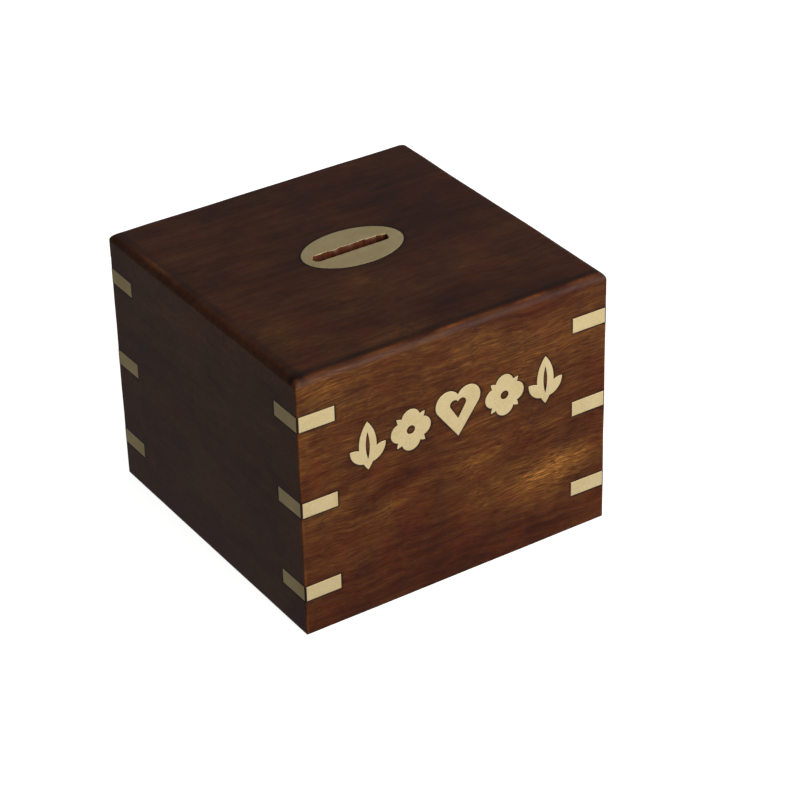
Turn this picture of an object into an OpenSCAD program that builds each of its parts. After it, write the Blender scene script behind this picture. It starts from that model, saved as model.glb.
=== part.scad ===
// Square wooden donation box: mitred walls, a glued top board with a brass slot plate, brass strips
// let in at every corner, five brass ornaments on the front, and a base that slides out at the back
// once its locking screw is undone. Millimetres, +Z up, front towards -Y, origin under the middle.

/* [Box] */
// Width of the box, left to right
box_w = 125; // [118:1:150]
// Depth of the box, front to back
box_d = 125; // [118:1:150]
// Height of the box
box_h = 100; // [96:1:130]
// Thickness of the four walls
wall_t = 9; // [8:0.5:11]
// Thickness of the top board
top_t = 9; // [7:0.5:12]
// Radius sanded onto the edges of the top
top_round = 2.6; // [1.5:0.1:4]
// Radius of the upright corners
corner_round = 0.45; // [0.3:0.05:0.55]
// Radius of the bottom edges
foot_round = 1; // [0.3:0.1:1.2]

/* [Coin slot] */
// Length of the oval brass slot plate
plate_l = 39.2; // [34:0.2:46]
// Width of the oval brass slot plate
plate_w = 25.4; // [18:0.2:32]
// Thickness of the slot plate
plate_t = 1; // [0.8:0.1:1.6]
// Sideways place of the slot plate
plate_x = 2; // [-10:0.5:10]
// Place of the slot plate behind the middle
plate_y = 3.8; // [-10:0.1:10]
// Sideways place of the coin slot in its plate
slot_shift = -0.8; // [-3:0.1:3]
// Length of the coin slot
slot_l = 31; // [26:0.5:33]
// Width of the coin slot
slot_w = 4.7; // [4.5:0.1:7]

/* [Corner strips] */
// From the corner to the far end of a strip
strip_reach = 14.4; // [10:0.2:18]
// Height of a strip
strip_h = 5.7; // [4:0.1:7]
// Thickness of the brass let into the walls
inlay_t = 0.8; // [0.6:0.1:1.2]
// Bare wood left at the corner before a strip starts
corner_land = 0.6; // [0.5:0.1:1.2]
// Height of the lowest row of strips, to its middle
strip_low_z = 17; // [17:0.5:19]
// Rise from one row of strips to the next
strip_pitch = 33.25; // [30:0.25:42]
// Glue line round each piece of brass
glue_gap = 0.2; // [0.1:0.05:0.3]

/* [Ornaments] */
// Height of the ornament band
ornament_h = 18.7; // [14:0.1:20]
// Height of the middle of the ornament band
ornament_z = 66.4; // [55:0.2:70]
// Sideways place of the middle ornament
ornament_x = 0.4; // [-5:0.1:5]
// Step from the heart to the flowers beside it
flower_step = 19.1; // [18.6:0.1:19.6]
// Step from the heart to the leaf sprigs at the ends
sprig_step = 36.2; // [35.8:0.1:38]

/* [Sliding base] */
// Thickness of the base panel
panel_t = 4; // [3:0.5:4]
// Depth of the groove that the panel runs in
groove_depth = 4; // [3:0.5:5]
// Height of the lip under the groove
groove_lip = 2; // [2:0.1:2.2]
// Running gap round the sliding base
slide_gap = 0.3; // [0.2:0.05:0.4]
// Height of the rail that closes the back under the rear wall
rail_top = 12.6; // [12.4:0.1:13]
// Width across the thumb scoop under the panel
scoop_w = 22; // [16:1:30]
// Width of the block behind the rail that the screw bites into
block_w = 28; // [20:1:40]
// Thickness of that block
block_t = 9; // [8:0.5:12]
// Height of the top of that block
block_top = 24; // [20:1:30]

/* [Locking screw] */
// Height of the screw
screw_z = 9.2; // [9.1:0.1:9.3]
// Radius of the screw's shank
shank_r = 1.3; // [1:0.1:1.4]
// Radius of the screw's head
head_r = 2.2; // [2:0.1:2.3]
// Length of the screw
screw_l = 16.4; // [14:0.2:17]
// Outer radius of the cup washer
cup_r = 3; // [2.8:0.1:3.1]
// Thickness of the cup washer
cup_t = 1.6; // [1.4:0.1:2]
// Radial running gap of the screw and the cup
fit_gap = 0.05; // [0.03:0.01:0.08]

/* [Hidden] */
$fn = 64;
eps = 0.5;
inner_w = box_w - 2 * wall_t;
inner_d = box_d - 2 * wall_t;
wall_top = box_h - top_t;
wood_slot_inset = 0.15;

// Sliding base
groove_h = panel_t + 2 * slide_gap;
panel_z = groove_lip + slide_gap;
panel_half_w = inner_w / 2 + groove_depth - slide_gap;
panel_front = -inner_d / 2 - groove_depth + slide_gap;
housing_depth = 4;
rail_front = inner_d / 2 + slide_gap;
panel_back = rail_front + housing_depth;
back_wall_low = rail_top + slide_gap;
scoop_ball_r = 40;
scoop_back = inner_d / 2 - 8;
scoop_drop = sqrt(pow(scoop_ball_r, 2) - pow(scoop_w / 2, 2));

// Locking screw
head_sink = 0.1;
head_h = head_r - shank_r;
slot_cut_w = 0.6;
slot_cut_depth = 0.5;
tip_l = 1.8;
tip_r = 0.5;
hole_r = shank_r + fit_gap;

// Ornaments, all drawn upright about their own middle
half_band = ornament_h / 2;
heart_lobe_r = 4.9;
heart_lobe_x = 4.2;
heart_window_r = 1.7;
heart_window_x = 1.55;
heart_seat = 0.03;
petal_r = 3.7;
petal_out = 4.3;
sepal_l = 8;
sepal_w = 3;
flower_eye_r = 1.6;
leaf_w = 7;
leaflet_l = 9.5;
leaflet_w = 4.4;
leaflet_turn = 48;
leaflet_low = 2.6;
vein_l = 10.5;
vein_w = 1.5;

wood = "#5f3a26";
dark_wood = "#3d281f";
plain_wood = "#8a6a48";
brass = "#cdbb8c";

faces = ["front", "right", "back", "left"];
levels = ["low", "middle", "top"];
ornaments = ["leaf_left", "flower_left", "heart", "flower_right", "leaf_right"];

// The two ends of a face, in the order met from left to right when looking at that face.
function face_ends(face) =
    face == "front" ? ["left", "right"]
    : face == "right" ? ["front", "back"]
    : face == "back" ? ["right", "left"]
    : ["back", "front"];

function strip_name(face, end, level) = str("strip_", face, "_", end, "_", level);
function ornament_name(kind) = str("inlay_", kind);

// Outline w wide and h high standing on its base line, with its lower and upper corners rounded.
module rounded_outline(w, h, low_r, high_r) {
    translate([-w / 2, low_r])
        square([w, h - low_r - high_r]);
    translate([-w / 2 + low_r, 0])
        square([w - 2 * low_r, h / 2]);
    translate([-w / 2 + high_r, h / 2])
        square([w - 2 * high_r, h / 2]);
    for (side = [-1, 1]) {
        translate([side * (w / 2 - low_r), low_r])
            circle(low_r);
        translate([side * (w / 2 - high_r), h - high_r])
            circle(high_r);
    }
}

// The whole box as one rounded block: what every outer board is cut from.
module box_block() {
    intersection() {
        translate([0, -box_d / 2, 0])
            linear_extrude(box_h)
                rounded_outline(box_w, box_d, corner_round, corner_round);
        translate([0, box_d, 0])
            rotate([90, 0, 0])
                linear_extrude(2 * box_d)
                    rounded_outline(box_w, box_h, foot_round, top_round);
        translate([-box_w, 0, 0])
            rotate([90, 0, 90])
                linear_extrude(2 * box_w)
                    rounded_outline(box_d, box_h, foot_round, top_round);
    }
}

// Turns children drawn on the front face onto the named face.
module on_face(face) {
    turn = search([face], faces)[0];
    rotate([0, 0, 90 * turn])
        children();
}

function half_run(face) = (face == "front" || face == "back" ? box_w : box_d) / 2;
function half_out(face) = (face == "front" || face == "back" ? box_d : box_w) / 2;

// Plan of one wall, mitred at both ends, grown past the outer face so that the block trims it.
module wall_plan(face) {
    run = half_run(face);
    out = half_out(face);
    polygon([
        [-run - eps, -out - eps],
        [run + eps, -out - eps],
        [run - wall_t, -out + wall_t],
        [-run + wall_t, -out + wall_t]
    ]);
}

// One corner strip at the left end of the front of a face; grow and lift make its recess.
module strip_shape(face, grow, lift) {
    run = half_run(face);
    out = half_out(face);
    mitre_grow = grow * sqrt(2);
    translate([-run, -out, -strip_h / 2 - grow])
        linear_extrude(strip_h + 2 * grow)
            polygon([
                [corner_land - mitre_grow - lift, -lift],
                [strip_reach + grow, -lift],
                [strip_reach + grow, inlay_t],
                [corner_land - mitre_grow + inlay_t, inlay_t]
            ]);
}

module strip_at(face, end, level, grow = 0, lift = 0) {
    on_face(face)
        translate([0, 0, strip_low_z + level * strip_pitch])
            mirror([end, 0, 0])
                strip_shape(face, grow, lift);
}

module strip_recesses(face) {
    for (end = [0, 1], level = [0, 1, 2])
        strip_at(face, end, level, glue_gap, eps);
}

module corner_strip(face, end, level) {
    color(brass)
        strip_at(face, end, level);
}

// Groove for the sliding panel, run round the inside of a wall.
module panel_groove(face) {
    on_face(face) {
        run = half_run(face);
        out = half_out(face);
        translate([-run, -out + wall_t - groove_depth, groove_lip])
            cube([2 * run, groove_depth + eps, groove_h]);
    }
}

module plain_wall(face, low) {
    intersection() {
        box_block();
        on_face(face)
            translate([0, 0, low])
                linear_extrude(wall_top - low)
                    wall_plan(face);
    }
}

module front_wall() {
    color(wood)
        difference() {
            plain_wall("front", 0);
            panel_groove("front");
            strip_recesses("front");
            for (kind = ornaments)
                ornament_solid(kind, glue_gap, eps);
        }
}

module right_wall() {
    color(wood)
        difference() {
            plain_wall("right", 0);
            panel_groove("right");
            strip_recesses("right");
        }
}

module left_wall() {
    color(dark_wood)
        difference() {
            plain_wall("left", 0);
            panel_groove("left");
            strip_recesses("left");
        }
}

// The rear wall stops above the rail of the sliding base.
module back_wall() {
    color(wood)
        difference() {
            plain_wall("back", back_wall_low);
            strip_recesses("back");
        }
}

// Slot outline with rounded ends, shrunk by inset all round.
module slot_outline(inset = 0) {
    w = slot_w - 2 * inset;
    run = slot_l - slot_w;
    translate([slot_shift, 0]) {
        square([run, w], center = true);
        for (side = [-1, 1])
            translate([side * run / 2, 0])
                circle(w / 2);
    }
}

module plate_outline(grow = 0) {
    scale([plate_l + 2 * grow, plate_w + 2 * grow])
        circle(d = 1);
}

module top_board() {
    color(dark_wood)
        difference() {
            intersection() {
                box_block();
                translate([-box_w, -box_d, wall_top])
                    cube([2 * box_w, 2 * box_d, top_t + eps]);
            }
            translate([plate_x, plate_y, box_h - plate_t])
                linear_extrude(plate_t + eps)
                    plate_outline(glue_gap);
            translate([plate_x, plate_y, wall_top - eps])
                linear_extrude(top_t + 2 * eps)
                    slot_outline(wood_slot_inset);
        }
}

module slot_plate() {
    color(brass)
        translate([plate_x, plate_y, box_h - plate_t])
            linear_extrude(plate_t)
                difference() {
                    plate_outline();
                    slot_outline();
                }
}

// Pointed leaf from the meeting of two equal circles, its foot on the origin, pointing up.
module leaf_outline(l, w, grow = 0) {
    arc_r = (pow(l, 2) + pow(w, 2)) / (4 * w);
    translate([0, l / 2])
        intersection() {
            translate([arc_r - w / 2, 0])
                circle(arc_r + grow);
            translate([w / 2 - arc_r, 0])
                circle(arc_r + grow);
        }
}

// Heart: two round lobes and the pair of straight sides that meet at the tip. The sides end just
// inside the lobes, so that they cross the round outline cleanly.
module heart_outline(lobe_r, lobe_x, tip_drop) {
    reach = sqrt(pow(lobe_x, 2) + pow(tip_drop, 2));
    touch_r = lobe_r - heart_seat;
    side_l = sqrt(pow(reach, 2) - pow(touch_r, 2));
    lean = atan2(lobe_x, tip_drop) + asin(touch_r / reach);
    touch = [side_l * sin(lean), side_l * cos(lean) - tip_drop];
    for (side = [-1, 1])
        translate([side * lobe_x, 0])
            circle(lobe_r);
    polygon([
        [0, -tip_drop],
        touch,
        [lobe_x, 0],
        [0, lobe_r / 3],
        [-lobe_x, 0],
        [-touch[0], touch[1]]
    ]);
}

// The drop from the lobes' centres to the tip of a heart h high.
function heart_drop(h, lobe_r) = h - lobe_r;

// How far the tip moves when a heart grows by the same amount all round.
function tip_grow(lobe_r, lobe_x, drop, grow) =
    grow / sin(atan2(lobe_x, drop) + asin(lobe_r / sqrt(pow(lobe_x, 2) + pow(drop, 2))));

module heart(grow) {
    drop = heart_drop(ornament_h, heart_lobe_r);
    window_drop = heart_drop(ornament_h * 0.4, heart_window_r);
    translate([0, half_band - heart_lobe_r])
        difference() {
            heart_outline(
                heart_lobe_r + grow,
                heart_lobe_x,
                drop + tip_grow(heart_lobe_r, heart_lobe_x, drop, grow)
            );
            translate([0, -1])
                heart_outline(heart_window_r - grow, heart_window_x, window_drop - 2 * grow);
        }
}

// Flower: four round petals, four pointed sepals between them, and a round eye.
module flower(grow) {
    difference() {
        for (turn = [0:90:270]) {
            rotate(turn)
                translate([0, petal_out])
                    circle(petal_r + grow);
            rotate(turn + 45)
                leaf_outline(sepal_l, sepal_w, grow);
        }
        circle(flower_eye_r - grow);
    }
}

// Leaf sprig: one upright leaf with an open vein, and a small leaf on each side of its foot.
module leaf_sprig(grow) {
    translate([0, -half_band])
        difference() {
            union() {
                leaf_outline(ornament_h, leaf_w, grow);
                for (side = [-1, 1])
                    translate([0, leaflet_low])
                        rotate(side * leaflet_turn)
                            leaf_outline(leaflet_l, leaflet_w, grow);
            }
            translate([0, (ornament_h - vein_l) / 2])
                leaf_outline(vein_l, vein_w, -grow);
        }
}

module ornament_outline(kind, grow) {
    if (kind == "heart")
        heart(grow);
    else if (kind == "flower_left" || kind == "flower_right")
        flower(grow);
    else
        leaf_sprig(grow);
}

function ornament_place(kind) =
    kind == "leaf_left" ? -sprig_step
    : kind == "flower_left" ? -flower_step
    : kind == "flower_right" ? flower_step
    : kind == "leaf_right" ? sprig_step
    : 0;

module ornament_solid(kind, grow = 0, lift = 0) {
    translate([ornament_x + ornament_place(kind), -box_d / 2 + inlay_t, ornament_z])
        rotate([90, 0, 0])
            linear_extrude(inlay_t + lift)
                ornament_outline(kind, grow);
}

module ornament(kind) {
    color(brass)
        ornament_solid(kind);
}

// Lays a shape turned about +Z along the screw's axis, with its Z = 0 on the outside of the rail.
module on_screw_axis() {
    translate([0, box_d / 2, screw_z])
        rotate([-90, 0, 0])
            children();
}

module screw_hole(from_y, to_y) {
    on_screw_axis()
        translate([0, 0, from_y - box_d / 2])
            cylinder(r = hole_r, h = to_y - from_y);
}

// Glued inside the rear wall, above the panel; the locking screw bites into it.
module lock_block() {
    low = panel_z + panel_t + slide_gap + fit_gap;
    back = inner_d / 2;
    color(plain_wood)
        difference() {
            translate([-block_w / 2, back - block_t, low])
                cube([block_w, block_t, block_top - low]);
            screw_hole(back - block_t - eps, back + eps);
        }
}

// Panel with a half-moon thumb scoop underneath, near its rear edge.
module base_panel() {
    color(plain_wood)
        difference() {
            translate([-panel_half_w, panel_front, panel_z])
                cube([2 * panel_half_w, panel_back - panel_front, panel_t]);
            intersection() {
                translate([0, scoop_back, panel_z - scoop_drop])
                    sphere(scoop_ball_r);
                translate([-scoop_w, scoop_back - scoop_w, panel_z - eps])
                    cube([2 * scoop_w, scoop_w, panel_t]);
            }
        }
}

// Rail glued to the panel's rear edge; its mitred ends close against the side walls.
module base_rear_rail() {
    mitre_gap = slide_gap * sqrt(2);
    back = box_d / 2;
    run = box_w / 2;
    color(wood)
        difference() {
            intersection() {
                box_block();
                translate([0, 0, slide_gap])
                    linear_extrude(rail_top - slide_gap)
                        polygon([
                            [run - back + rail_front - mitre_gap, rail_front],
                            [run - mitre_gap, back],
                            [-run + mitre_gap, back],
                            [-run + back - rail_front + mitre_gap, rail_front]
                        ]);
            }
            translate([-box_w / 2, rail_front - eps, panel_z])
                cube([box_w, housing_depth + eps, panel_t]);
            screw_hole(rail_front - eps, back + eps);
            on_screw_axis()
                translate([0, 0, -cup_t - fit_gap])
                    cylinder(r = cup_r + fit_gap, h = cup_t + eps);
        }
}

// Flush cup washer with a cone for the screw's head.
module screw_cup() {
    cone_h = head_h + head_sink;
    color(brass)
        on_screw_axis()
            difference() {
                translate([0, 0, -cup_t])
                    cylinder(r = cup_r, h = cup_t);
                translate([0, 0, -cup_t - eps])
                    cylinder(r = hole_r, h = cup_t + 2 * eps);
                translate([0, 0, -cone_h])
                    cylinder(r1 = hole_r, r2 = hole_r + cone_h, h = cone_h);
            }
}

// Countersunk slotted screw with a plain shank and a short point.
module locking_screw() {
    color(brass)
        on_screw_axis()
            difference() {
                rotate_extrude()
                    polygon([
                        [0, -screw_l],
                        [tip_r, -screw_l],
                        [shank_r, tip_l - screw_l],
                        [shank_r, -head_sink - head_h],
                        [head_r, -head_sink],
                        [0, -head_sink]
                    ]);
                translate([-cup_r, -slot_cut_w / 2, -head_sink - slot_cut_depth])
                    cube([2 * cup_r, slot_cut_w, slot_cut_depth + eps]);
            }
}

top_board();
front_wall();
right_wall();
back_wall();
left_wall();
slot_plate();
for (face = faces, end = [0, 1], level = [0, 1, 2])
    corner_strip(face, end, level);
for (kind = ornaments)
    ornament(kind);
lock_block();
base_panel();
base_rear_rail();
screw_cup();
locking_screw();
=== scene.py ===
"""Inlaid wooden donation box: the looks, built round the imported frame.

Lengths are in millimetres while shapes are worked out, and become metres in the mesh.
"""

import logging
import math
from collections.abc import Sequence
from dataclasses import dataclass
from enum import Enum

import bpy
import numpy as np
from mathutils import Matrix, Vector


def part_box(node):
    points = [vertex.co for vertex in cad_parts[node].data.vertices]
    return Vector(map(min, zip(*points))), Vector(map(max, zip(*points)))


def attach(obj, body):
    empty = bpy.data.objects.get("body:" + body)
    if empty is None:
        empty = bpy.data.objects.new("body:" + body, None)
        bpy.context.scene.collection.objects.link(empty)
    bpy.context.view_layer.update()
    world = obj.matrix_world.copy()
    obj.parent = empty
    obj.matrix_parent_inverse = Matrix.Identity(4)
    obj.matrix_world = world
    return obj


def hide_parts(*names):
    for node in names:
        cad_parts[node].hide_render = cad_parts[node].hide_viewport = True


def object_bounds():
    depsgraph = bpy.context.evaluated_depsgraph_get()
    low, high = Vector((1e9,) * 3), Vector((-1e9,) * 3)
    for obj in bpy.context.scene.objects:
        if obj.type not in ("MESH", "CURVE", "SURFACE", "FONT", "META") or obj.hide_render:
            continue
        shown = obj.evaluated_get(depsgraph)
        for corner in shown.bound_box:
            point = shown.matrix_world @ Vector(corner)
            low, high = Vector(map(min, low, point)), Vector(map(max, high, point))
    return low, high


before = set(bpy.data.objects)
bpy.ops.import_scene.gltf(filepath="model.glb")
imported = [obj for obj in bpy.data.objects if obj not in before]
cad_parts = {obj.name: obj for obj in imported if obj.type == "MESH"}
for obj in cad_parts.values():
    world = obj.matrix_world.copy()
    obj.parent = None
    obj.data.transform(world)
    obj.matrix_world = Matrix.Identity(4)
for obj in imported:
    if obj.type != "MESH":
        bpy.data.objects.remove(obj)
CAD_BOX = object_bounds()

LOG = logging.getLogger("donation_box")
MM = 0.001
SHARP_ANGLE = math.radians(34)
HALF = 62.5
HEIGHT = 100.0
GLUE_GAP = 0.2
RIDGE = 0.06
CLEAR = 0.5
BESIDE_BRASS = (0.15, 0.45, 0.9, 1.6)
SIDE_GRAIN = 0.5
ORNAMENT_ANGLES = 360


class Slot(Enum):
    """The record's material slots."""

    WOOD = "stained_wood"
    TOP = "stained_top"
    BARE = "bare_wood"
    INLAY = "brass_inlay"
    HARDWARE = "brass_hardware"


class Face(Enum):
    """The four upright faces, with the quarter turns that bring the front to each of them."""

    FRONT = 0
    RIGHT = 1
    BACK = 2
    LEFT = 3

    @property
    def ends(self) -> tuple[str, str]:
        """Names of the corners met from left to right when looking at the face."""
        return (("left", "right"), ("front", "back"), ("right", "left"), ("back", "front"))[self.value]

    @property
    def wall(self) -> str:
        """Node name of the wall."""
        return f"{self.name.lower()}_wall"

    def turn(self, points: np.ndarray) -> np.ndarray:
        """Turns points worked out on the front about +Z, onto this face."""
        angle = self.value * math.pi / 2
        c, s = round(math.cos(angle)), round(math.sin(angle))
        return points @ np.array([[c, s, 0], [-s, c, 0], [0, 0, 1]], float)


# ---------------------------------------------------------------- meshes


def node_box(node: str) -> tuple[np.ndarray, np.ndarray]:
    """Lowest and highest corners of a CAD node, in millimetres."""
    low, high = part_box(node)
    return np.array(low) / MM, np.array(high) / MM


def grid_faces(rows: int, cols: int, wrap_rows: bool = False, wrap_cols: bool = False) -> np.ndarray:
    """Quads between the points of a grid.

    Args:
        rows: Number of rows of points.
        cols: Number of points in a row.
        wrap_rows: Whether the last row joins the first.
        wrap_cols: Whether each row's last point joins its first.

    Returns:
        An array of four point numbers for each quad.
    """
    row, col = np.meshgrid(
        np.arange(rows if wrap_rows else rows - 1),
        np.arange(cols if wrap_cols else cols - 1),
        indexing="ij",
    )
    next_row, next_col = (row + 1) % rows, (col + 1) % cols
    corners = (row * cols + col, row * cols + next_col, next_row * cols + next_col, next_row * cols + col)
    return np.stack(corners, -1).reshape(-1, 4)


def volume(points: np.ndarray, faces: Sequence[Sequence[int]]) -> float:
    """Signed volume: the sum of the tetrahedra from the origin to each face's fan of triangles."""
    total = 0.0
    by_size: dict[int, list[Sequence[int]]] = {}
    for face in faces:
        by_size.setdefault(len(face), []).append(face)
    for size, group in by_size.items():
        corners = points[np.array(group)]
        for step in range(1, size - 1):
            across = np.cross(corners[:, step], corners[:, step + 1])
            total += float((corners[:, 0] * across).sum()) / 6
    return total


def new_piece(name: str, points: np.ndarray, faces: Sequence[Sequence[int]]) -> bpy.types.Object:
    """Makes a mesh object from millimetre points, with its faces turned outwards.

    Args:
        name: Name of the object.
        points: One row for each point, in millimetres.
        faces: Point numbers of each face.

    Returns:
        The linked object, at the origin.
    """
    points = np.asarray(points, float).reshape(-1, 3)
    faces = [list(map(int, face)) for face in faces]
    if volume(points, faces) < 0:
        faces = [face[::-1] for face in faces]
    mesh = bpy.data.meshes.new(name)
    mesh.from_pydata((points * MM).tolist(), [], faces)
    mesh.update()
    piece = bpy.data.objects.new(name, mesh)
    bpy.context.scene.collection.objects.link(piece)
    return piece


def ring_solid(name: str, rings: np.ndarray) -> bpy.types.Object:
    """Solid with a hole through it: closed rings of points, the last ring joined to the first."""
    return new_piece(name, rings, grid_faces(rings.shape[0], rings.shape[1], True, True))


def box_solid(name: str, low: Sequence[float], high: Sequence[float]) -> bpy.types.Object:
    """Solid box between two corners."""
    (x0, y0, z0), (x1, y1, z1) = low, high
    return bar_solid(name, np.array([[(x0, y, z0), (x1, y, z0), (x1, y, z1), (x0, y, z1)] for y in (y0, y1)]))


def bar_solid(name: str, sections: np.ndarray) -> bpy.types.Object:
    """Solid carried along a path: closed cross-sections of points, with a flat face at each end."""
    count, size = sections.shape[:2]
    faces = grid_faces(count, size, False, True).tolist()
    faces += [list(range(size))[::-1], list(range((count - 1) * size, count * size))]
    return new_piece(name, sections, faces)


def slab_solid(name: str, upper: np.ndarray, lower: np.ndarray) -> bpy.types.Object:
    """Solid between two grids of the same size, closed by one strip of quads along each edge."""
    rows, cols = upper.shape[:2]
    number = np.arange(rows * cols).reshape(rows, cols)
    border = np.concatenate([number[0, :-1], number[:-1, -1], number[-1, :0:-1], number[:0:-1, 0]])
    after = np.roll(border, -1)
    low = rows * cols
    faces = np.concatenate([
        grid_faces(rows, cols),
        grid_faces(rows, cols)[:, ::-1] + low,
        np.stack([after, border, border + low, after + low], -1),
    ])
    return new_piece(name, np.concatenate([upper.reshape(-1, 3), lower.reshape(-1, 3)]), faces)


def points_of(piece: bpy.types.Object) -> np.ndarray:
    """The piece's points, in millimetres."""
    flat = np.empty(len(piece.data.vertices) * 3)
    piece.data.vertices.foreach_get("co", flat)
    return flat.reshape(-1, 3) / MM


def move_points(piece: bpy.types.Object, points: np.ndarray) -> None:
    """Writes millimetre points back into the piece."""
    piece.data.vertices.foreach_set("co", (points * MM).astype(np.float32).ravel())
    piece.data.update()


def set_marks(piece: bpy.types.Object, **marks: float | np.ndarray) -> None:
    """Stores one number for each point under each name that the stained wood reads."""
    for name, values in marks.items():
        layer = piece.data.attributes.new(name, "FLOAT", "POINT")
        layer.data.foreach_set("value", np.full(len(piece.data.vertices), values, np.float32))


def smooth(piece: bpy.types.Object) -> None:
    """Shades the piece smooth except across its sharp edges."""
    count = len(piece.data.polygons)
    piece.data.polygons.foreach_set("use_smooth", np.ones(count, bool))
    piece.data.set_sharp_from_angle(angle=SHARP_ANGLE)


def joined(pieces: Sequence[bpy.types.Object]) -> bpy.types.Object:
    """Makes one object of several."""
    bpy.ops.object.select_all(action="DESELECT")
    for piece in pieces:
        piece.select_set(True)
    bpy.context.view_layer.objects.active = pieces[0]
    bpy.ops.object.join()
    return pieces[0]


def cut_away(piece: bpy.types.Object, cutters: Sequence[bpy.types.Object]) -> None:
    """Subtracts closed cutters that don't touch each other, and removes them."""
    cutter = joined(cutters)
    modifier = piece.modifiers.new("cut", "BOOLEAN")
    modifier.operation = "DIFFERENCE"
    modifier.solver = "EXACT"
    modifier.object = cutter
    depsgraph = bpy.context.evaluated_depsgraph_get()
    cut_mesh = bpy.data.meshes.new_from_object(piece.evaluated_get(depsgraph))
    piece.modifiers.clear()
    piece.data = cut_mesh
    bpy.data.objects.remove(cutter)


def bell(distance: np.ndarray, width: float) -> np.ndarray:
    """Bell curve exp(-(distance / width)^2)."""
    return np.exp(-((distance / width) ** 2))


def circle(count: int) -> np.ndarray:
    """Angles of evenly spaced points round a circle."""
    return np.arange(count) * 2 * math.pi / count


def rings_on_y(radius: np.ndarray, y: np.ndarray, axis: np.ndarray, sides: int) -> np.ndarray:
    """Circles round an axis along Y.

    Args:
        radius: One row for each circle, of one radius or one for each side.
        y: One row for each circle, of its place along the axis.
        axis: Any point of the axis.
        sides: Number of points in a circle.

    Returns:
        The points of each circle.
    """
    angle = circle(sides)
    radius, y = (np.broadcast_to(np.atleast_2d(v), (len(v), sides)) for v in (radius, y))
    return np.stack([axis[0] + radius * np.cos(angle), y, axis[2] + radius * np.sin(angle)], -1)


def lift(flat: np.ndarray, z: float | np.ndarray) -> np.ndarray:
    """Puts a flat loop at a height, or each of its points at its own."""
    return np.column_stack([flat, np.broadcast_to(z, len(flat))])


def round_drop(distance: np.ndarray, radius: float | np.ndarray) -> np.ndarray:
    """Depth of a rounded edge: r - sqrt(r^2 - (r - d)^2) within r of the edge, and nothing beyond."""
    short = np.clip(radius - distance, 0, radius)
    return radius - np.sqrt(np.maximum(radius**2 - short**2, 0))


def crowded(count: int) -> np.ndarray:
    """Numbers from -1 to 1 that crowd towards both ends: 1.5 w - 0.5 w^3 of an even spread."""
    w = np.linspace(-1, 1, count)
    return 1.5 * w - 0.5 * w**3


def square_walk(per_side: int) -> np.ndarray:
    """Points round the edge of the square from -1 to 1, crowded towards its corners."""
    along = crowded(per_side + 1)[:-1]
    one = np.ones(per_side)
    sides = [(along, -one), (one, along), (-along, one), (-one, -along)]
    return np.concatenate([np.stack(side, -1) for side in sides])


def rounded_loop(walk: np.ndarray, half: tuple[float, float], radius: float) -> np.ndarray:
    """Rounded rectangle: each point of the walk is pulled to the radius round the inner rectangle."""
    size = np.array(half)
    flat = walk * size
    core = np.clip(flat, -(size - radius), size - radius)
    away = flat - core
    length = np.maximum(np.linalg.norm(away, axis=1, keepdims=True), 1e-9)
    return core + away / length * radius


def ellipse_loop(walk: np.ndarray, half: tuple[float, float]) -> np.ndarray:
    """Ellipse with a point in the direction of each point of the walk."""
    angle = np.arctan2(walk[:, 1], walk[:, 0])
    return np.stack([half[0] * np.cos(angle), half[1] * np.sin(angle)], -1)


@dataclass(frozen=True)
class Waves:
    """Smooth unevenness from -1 to 1: a sum of sine waves that run in seeded directions."""

    seed: int
    length: float
    count: int = 9

    def at(self, points: np.ndarray) -> np.ndarray:
        """Value at each millimetre point."""
        rng = np.random.default_rng(self.seed)
        ways = rng.normal(size=(self.count, 3))
        ways /= np.linalg.norm(ways, axis=1, keepdims=True)
        lengths = self.length * rng.uniform(0.6, 1.7, self.count)
        phases = rng.uniform(0, 2 * math.pi, self.count)
        waves = np.sin(points @ (ways.T * (2 * math.pi / lengths)) + phases)
        return np.clip(waves.mean(1) * math.sqrt(self.count / 2), -1, 1)


@dataclass(frozen=True)
class Sanding:
    """Hand sanding of the outside: wood and brass on a face sink together by a little, unevenly."""

    half: float
    height: float
    depth: float = 0.09
    skin: float = 1.4
    fade: float = 5.0
    waves: Waves = Waves(seed=11, length=42)
    ripple: Waves = Waves(seed=12, length=9)

    def sink(self, points: np.ndarray) -> np.ndarray:
        """Moves points near an outer face inwards, fading out below the skin."""
        out = points.copy()
        sides = [(axis, side, self.half) for axis in (0, 1) for side in (1, -1)]
        for axis, side, plane in (*sides, (2, 1, self.height)):
            below = plane - points[:, axis] * side
            share = np.clip((self.fade - below) / (self.fade - self.skin), 0, 1)
            flat = points.copy()
            flat[:, axis] = plane * side
            uneven = 0.5 + 0.4 * self.waves.at(flat) + 0.1 * self.ripple.at(flat)
            out[:, axis] -= side * self.depth * uneven * share * share * (3 - 2 * share)
        return out

    def sand(self, piece: bpy.types.Object) -> None:
        """Sands a piece."""
        move_points(piece, self.sink(points_of(piece)))


@dataclass(frozen=True)
class Patch:
    """A soft lighter or darker cloud in the wood: a tilted ellipsoid that fades like a bell curve.

    Its length runs along X, lifted by the tilt in degrees towards the axis whose number is up.
    """

    centre: tuple[float, float, float]
    length: float
    width: float
    strength: float
    tilt: float
    up: int
    thickness: float = 10.0

    def at(self, points: np.ndarray) -> np.ndarray:
        """Strength at each point: a bell curve along the run, the rise and the depth."""
        offset = points - np.array(self.centre)
        c, s = math.cos(math.radians(self.tilt)), math.sin(math.radians(self.tilt))
        run = offset[:, 0] * c + offset[:, self.up] * s
        rise = offset[:, self.up] * c - offset[:, 0] * s
        depth = offset[:, 3 - self.up]
        return self.strength * bell(run, self.length) * bell(rise, self.width) * bell(depth, self.thickness)


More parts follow.
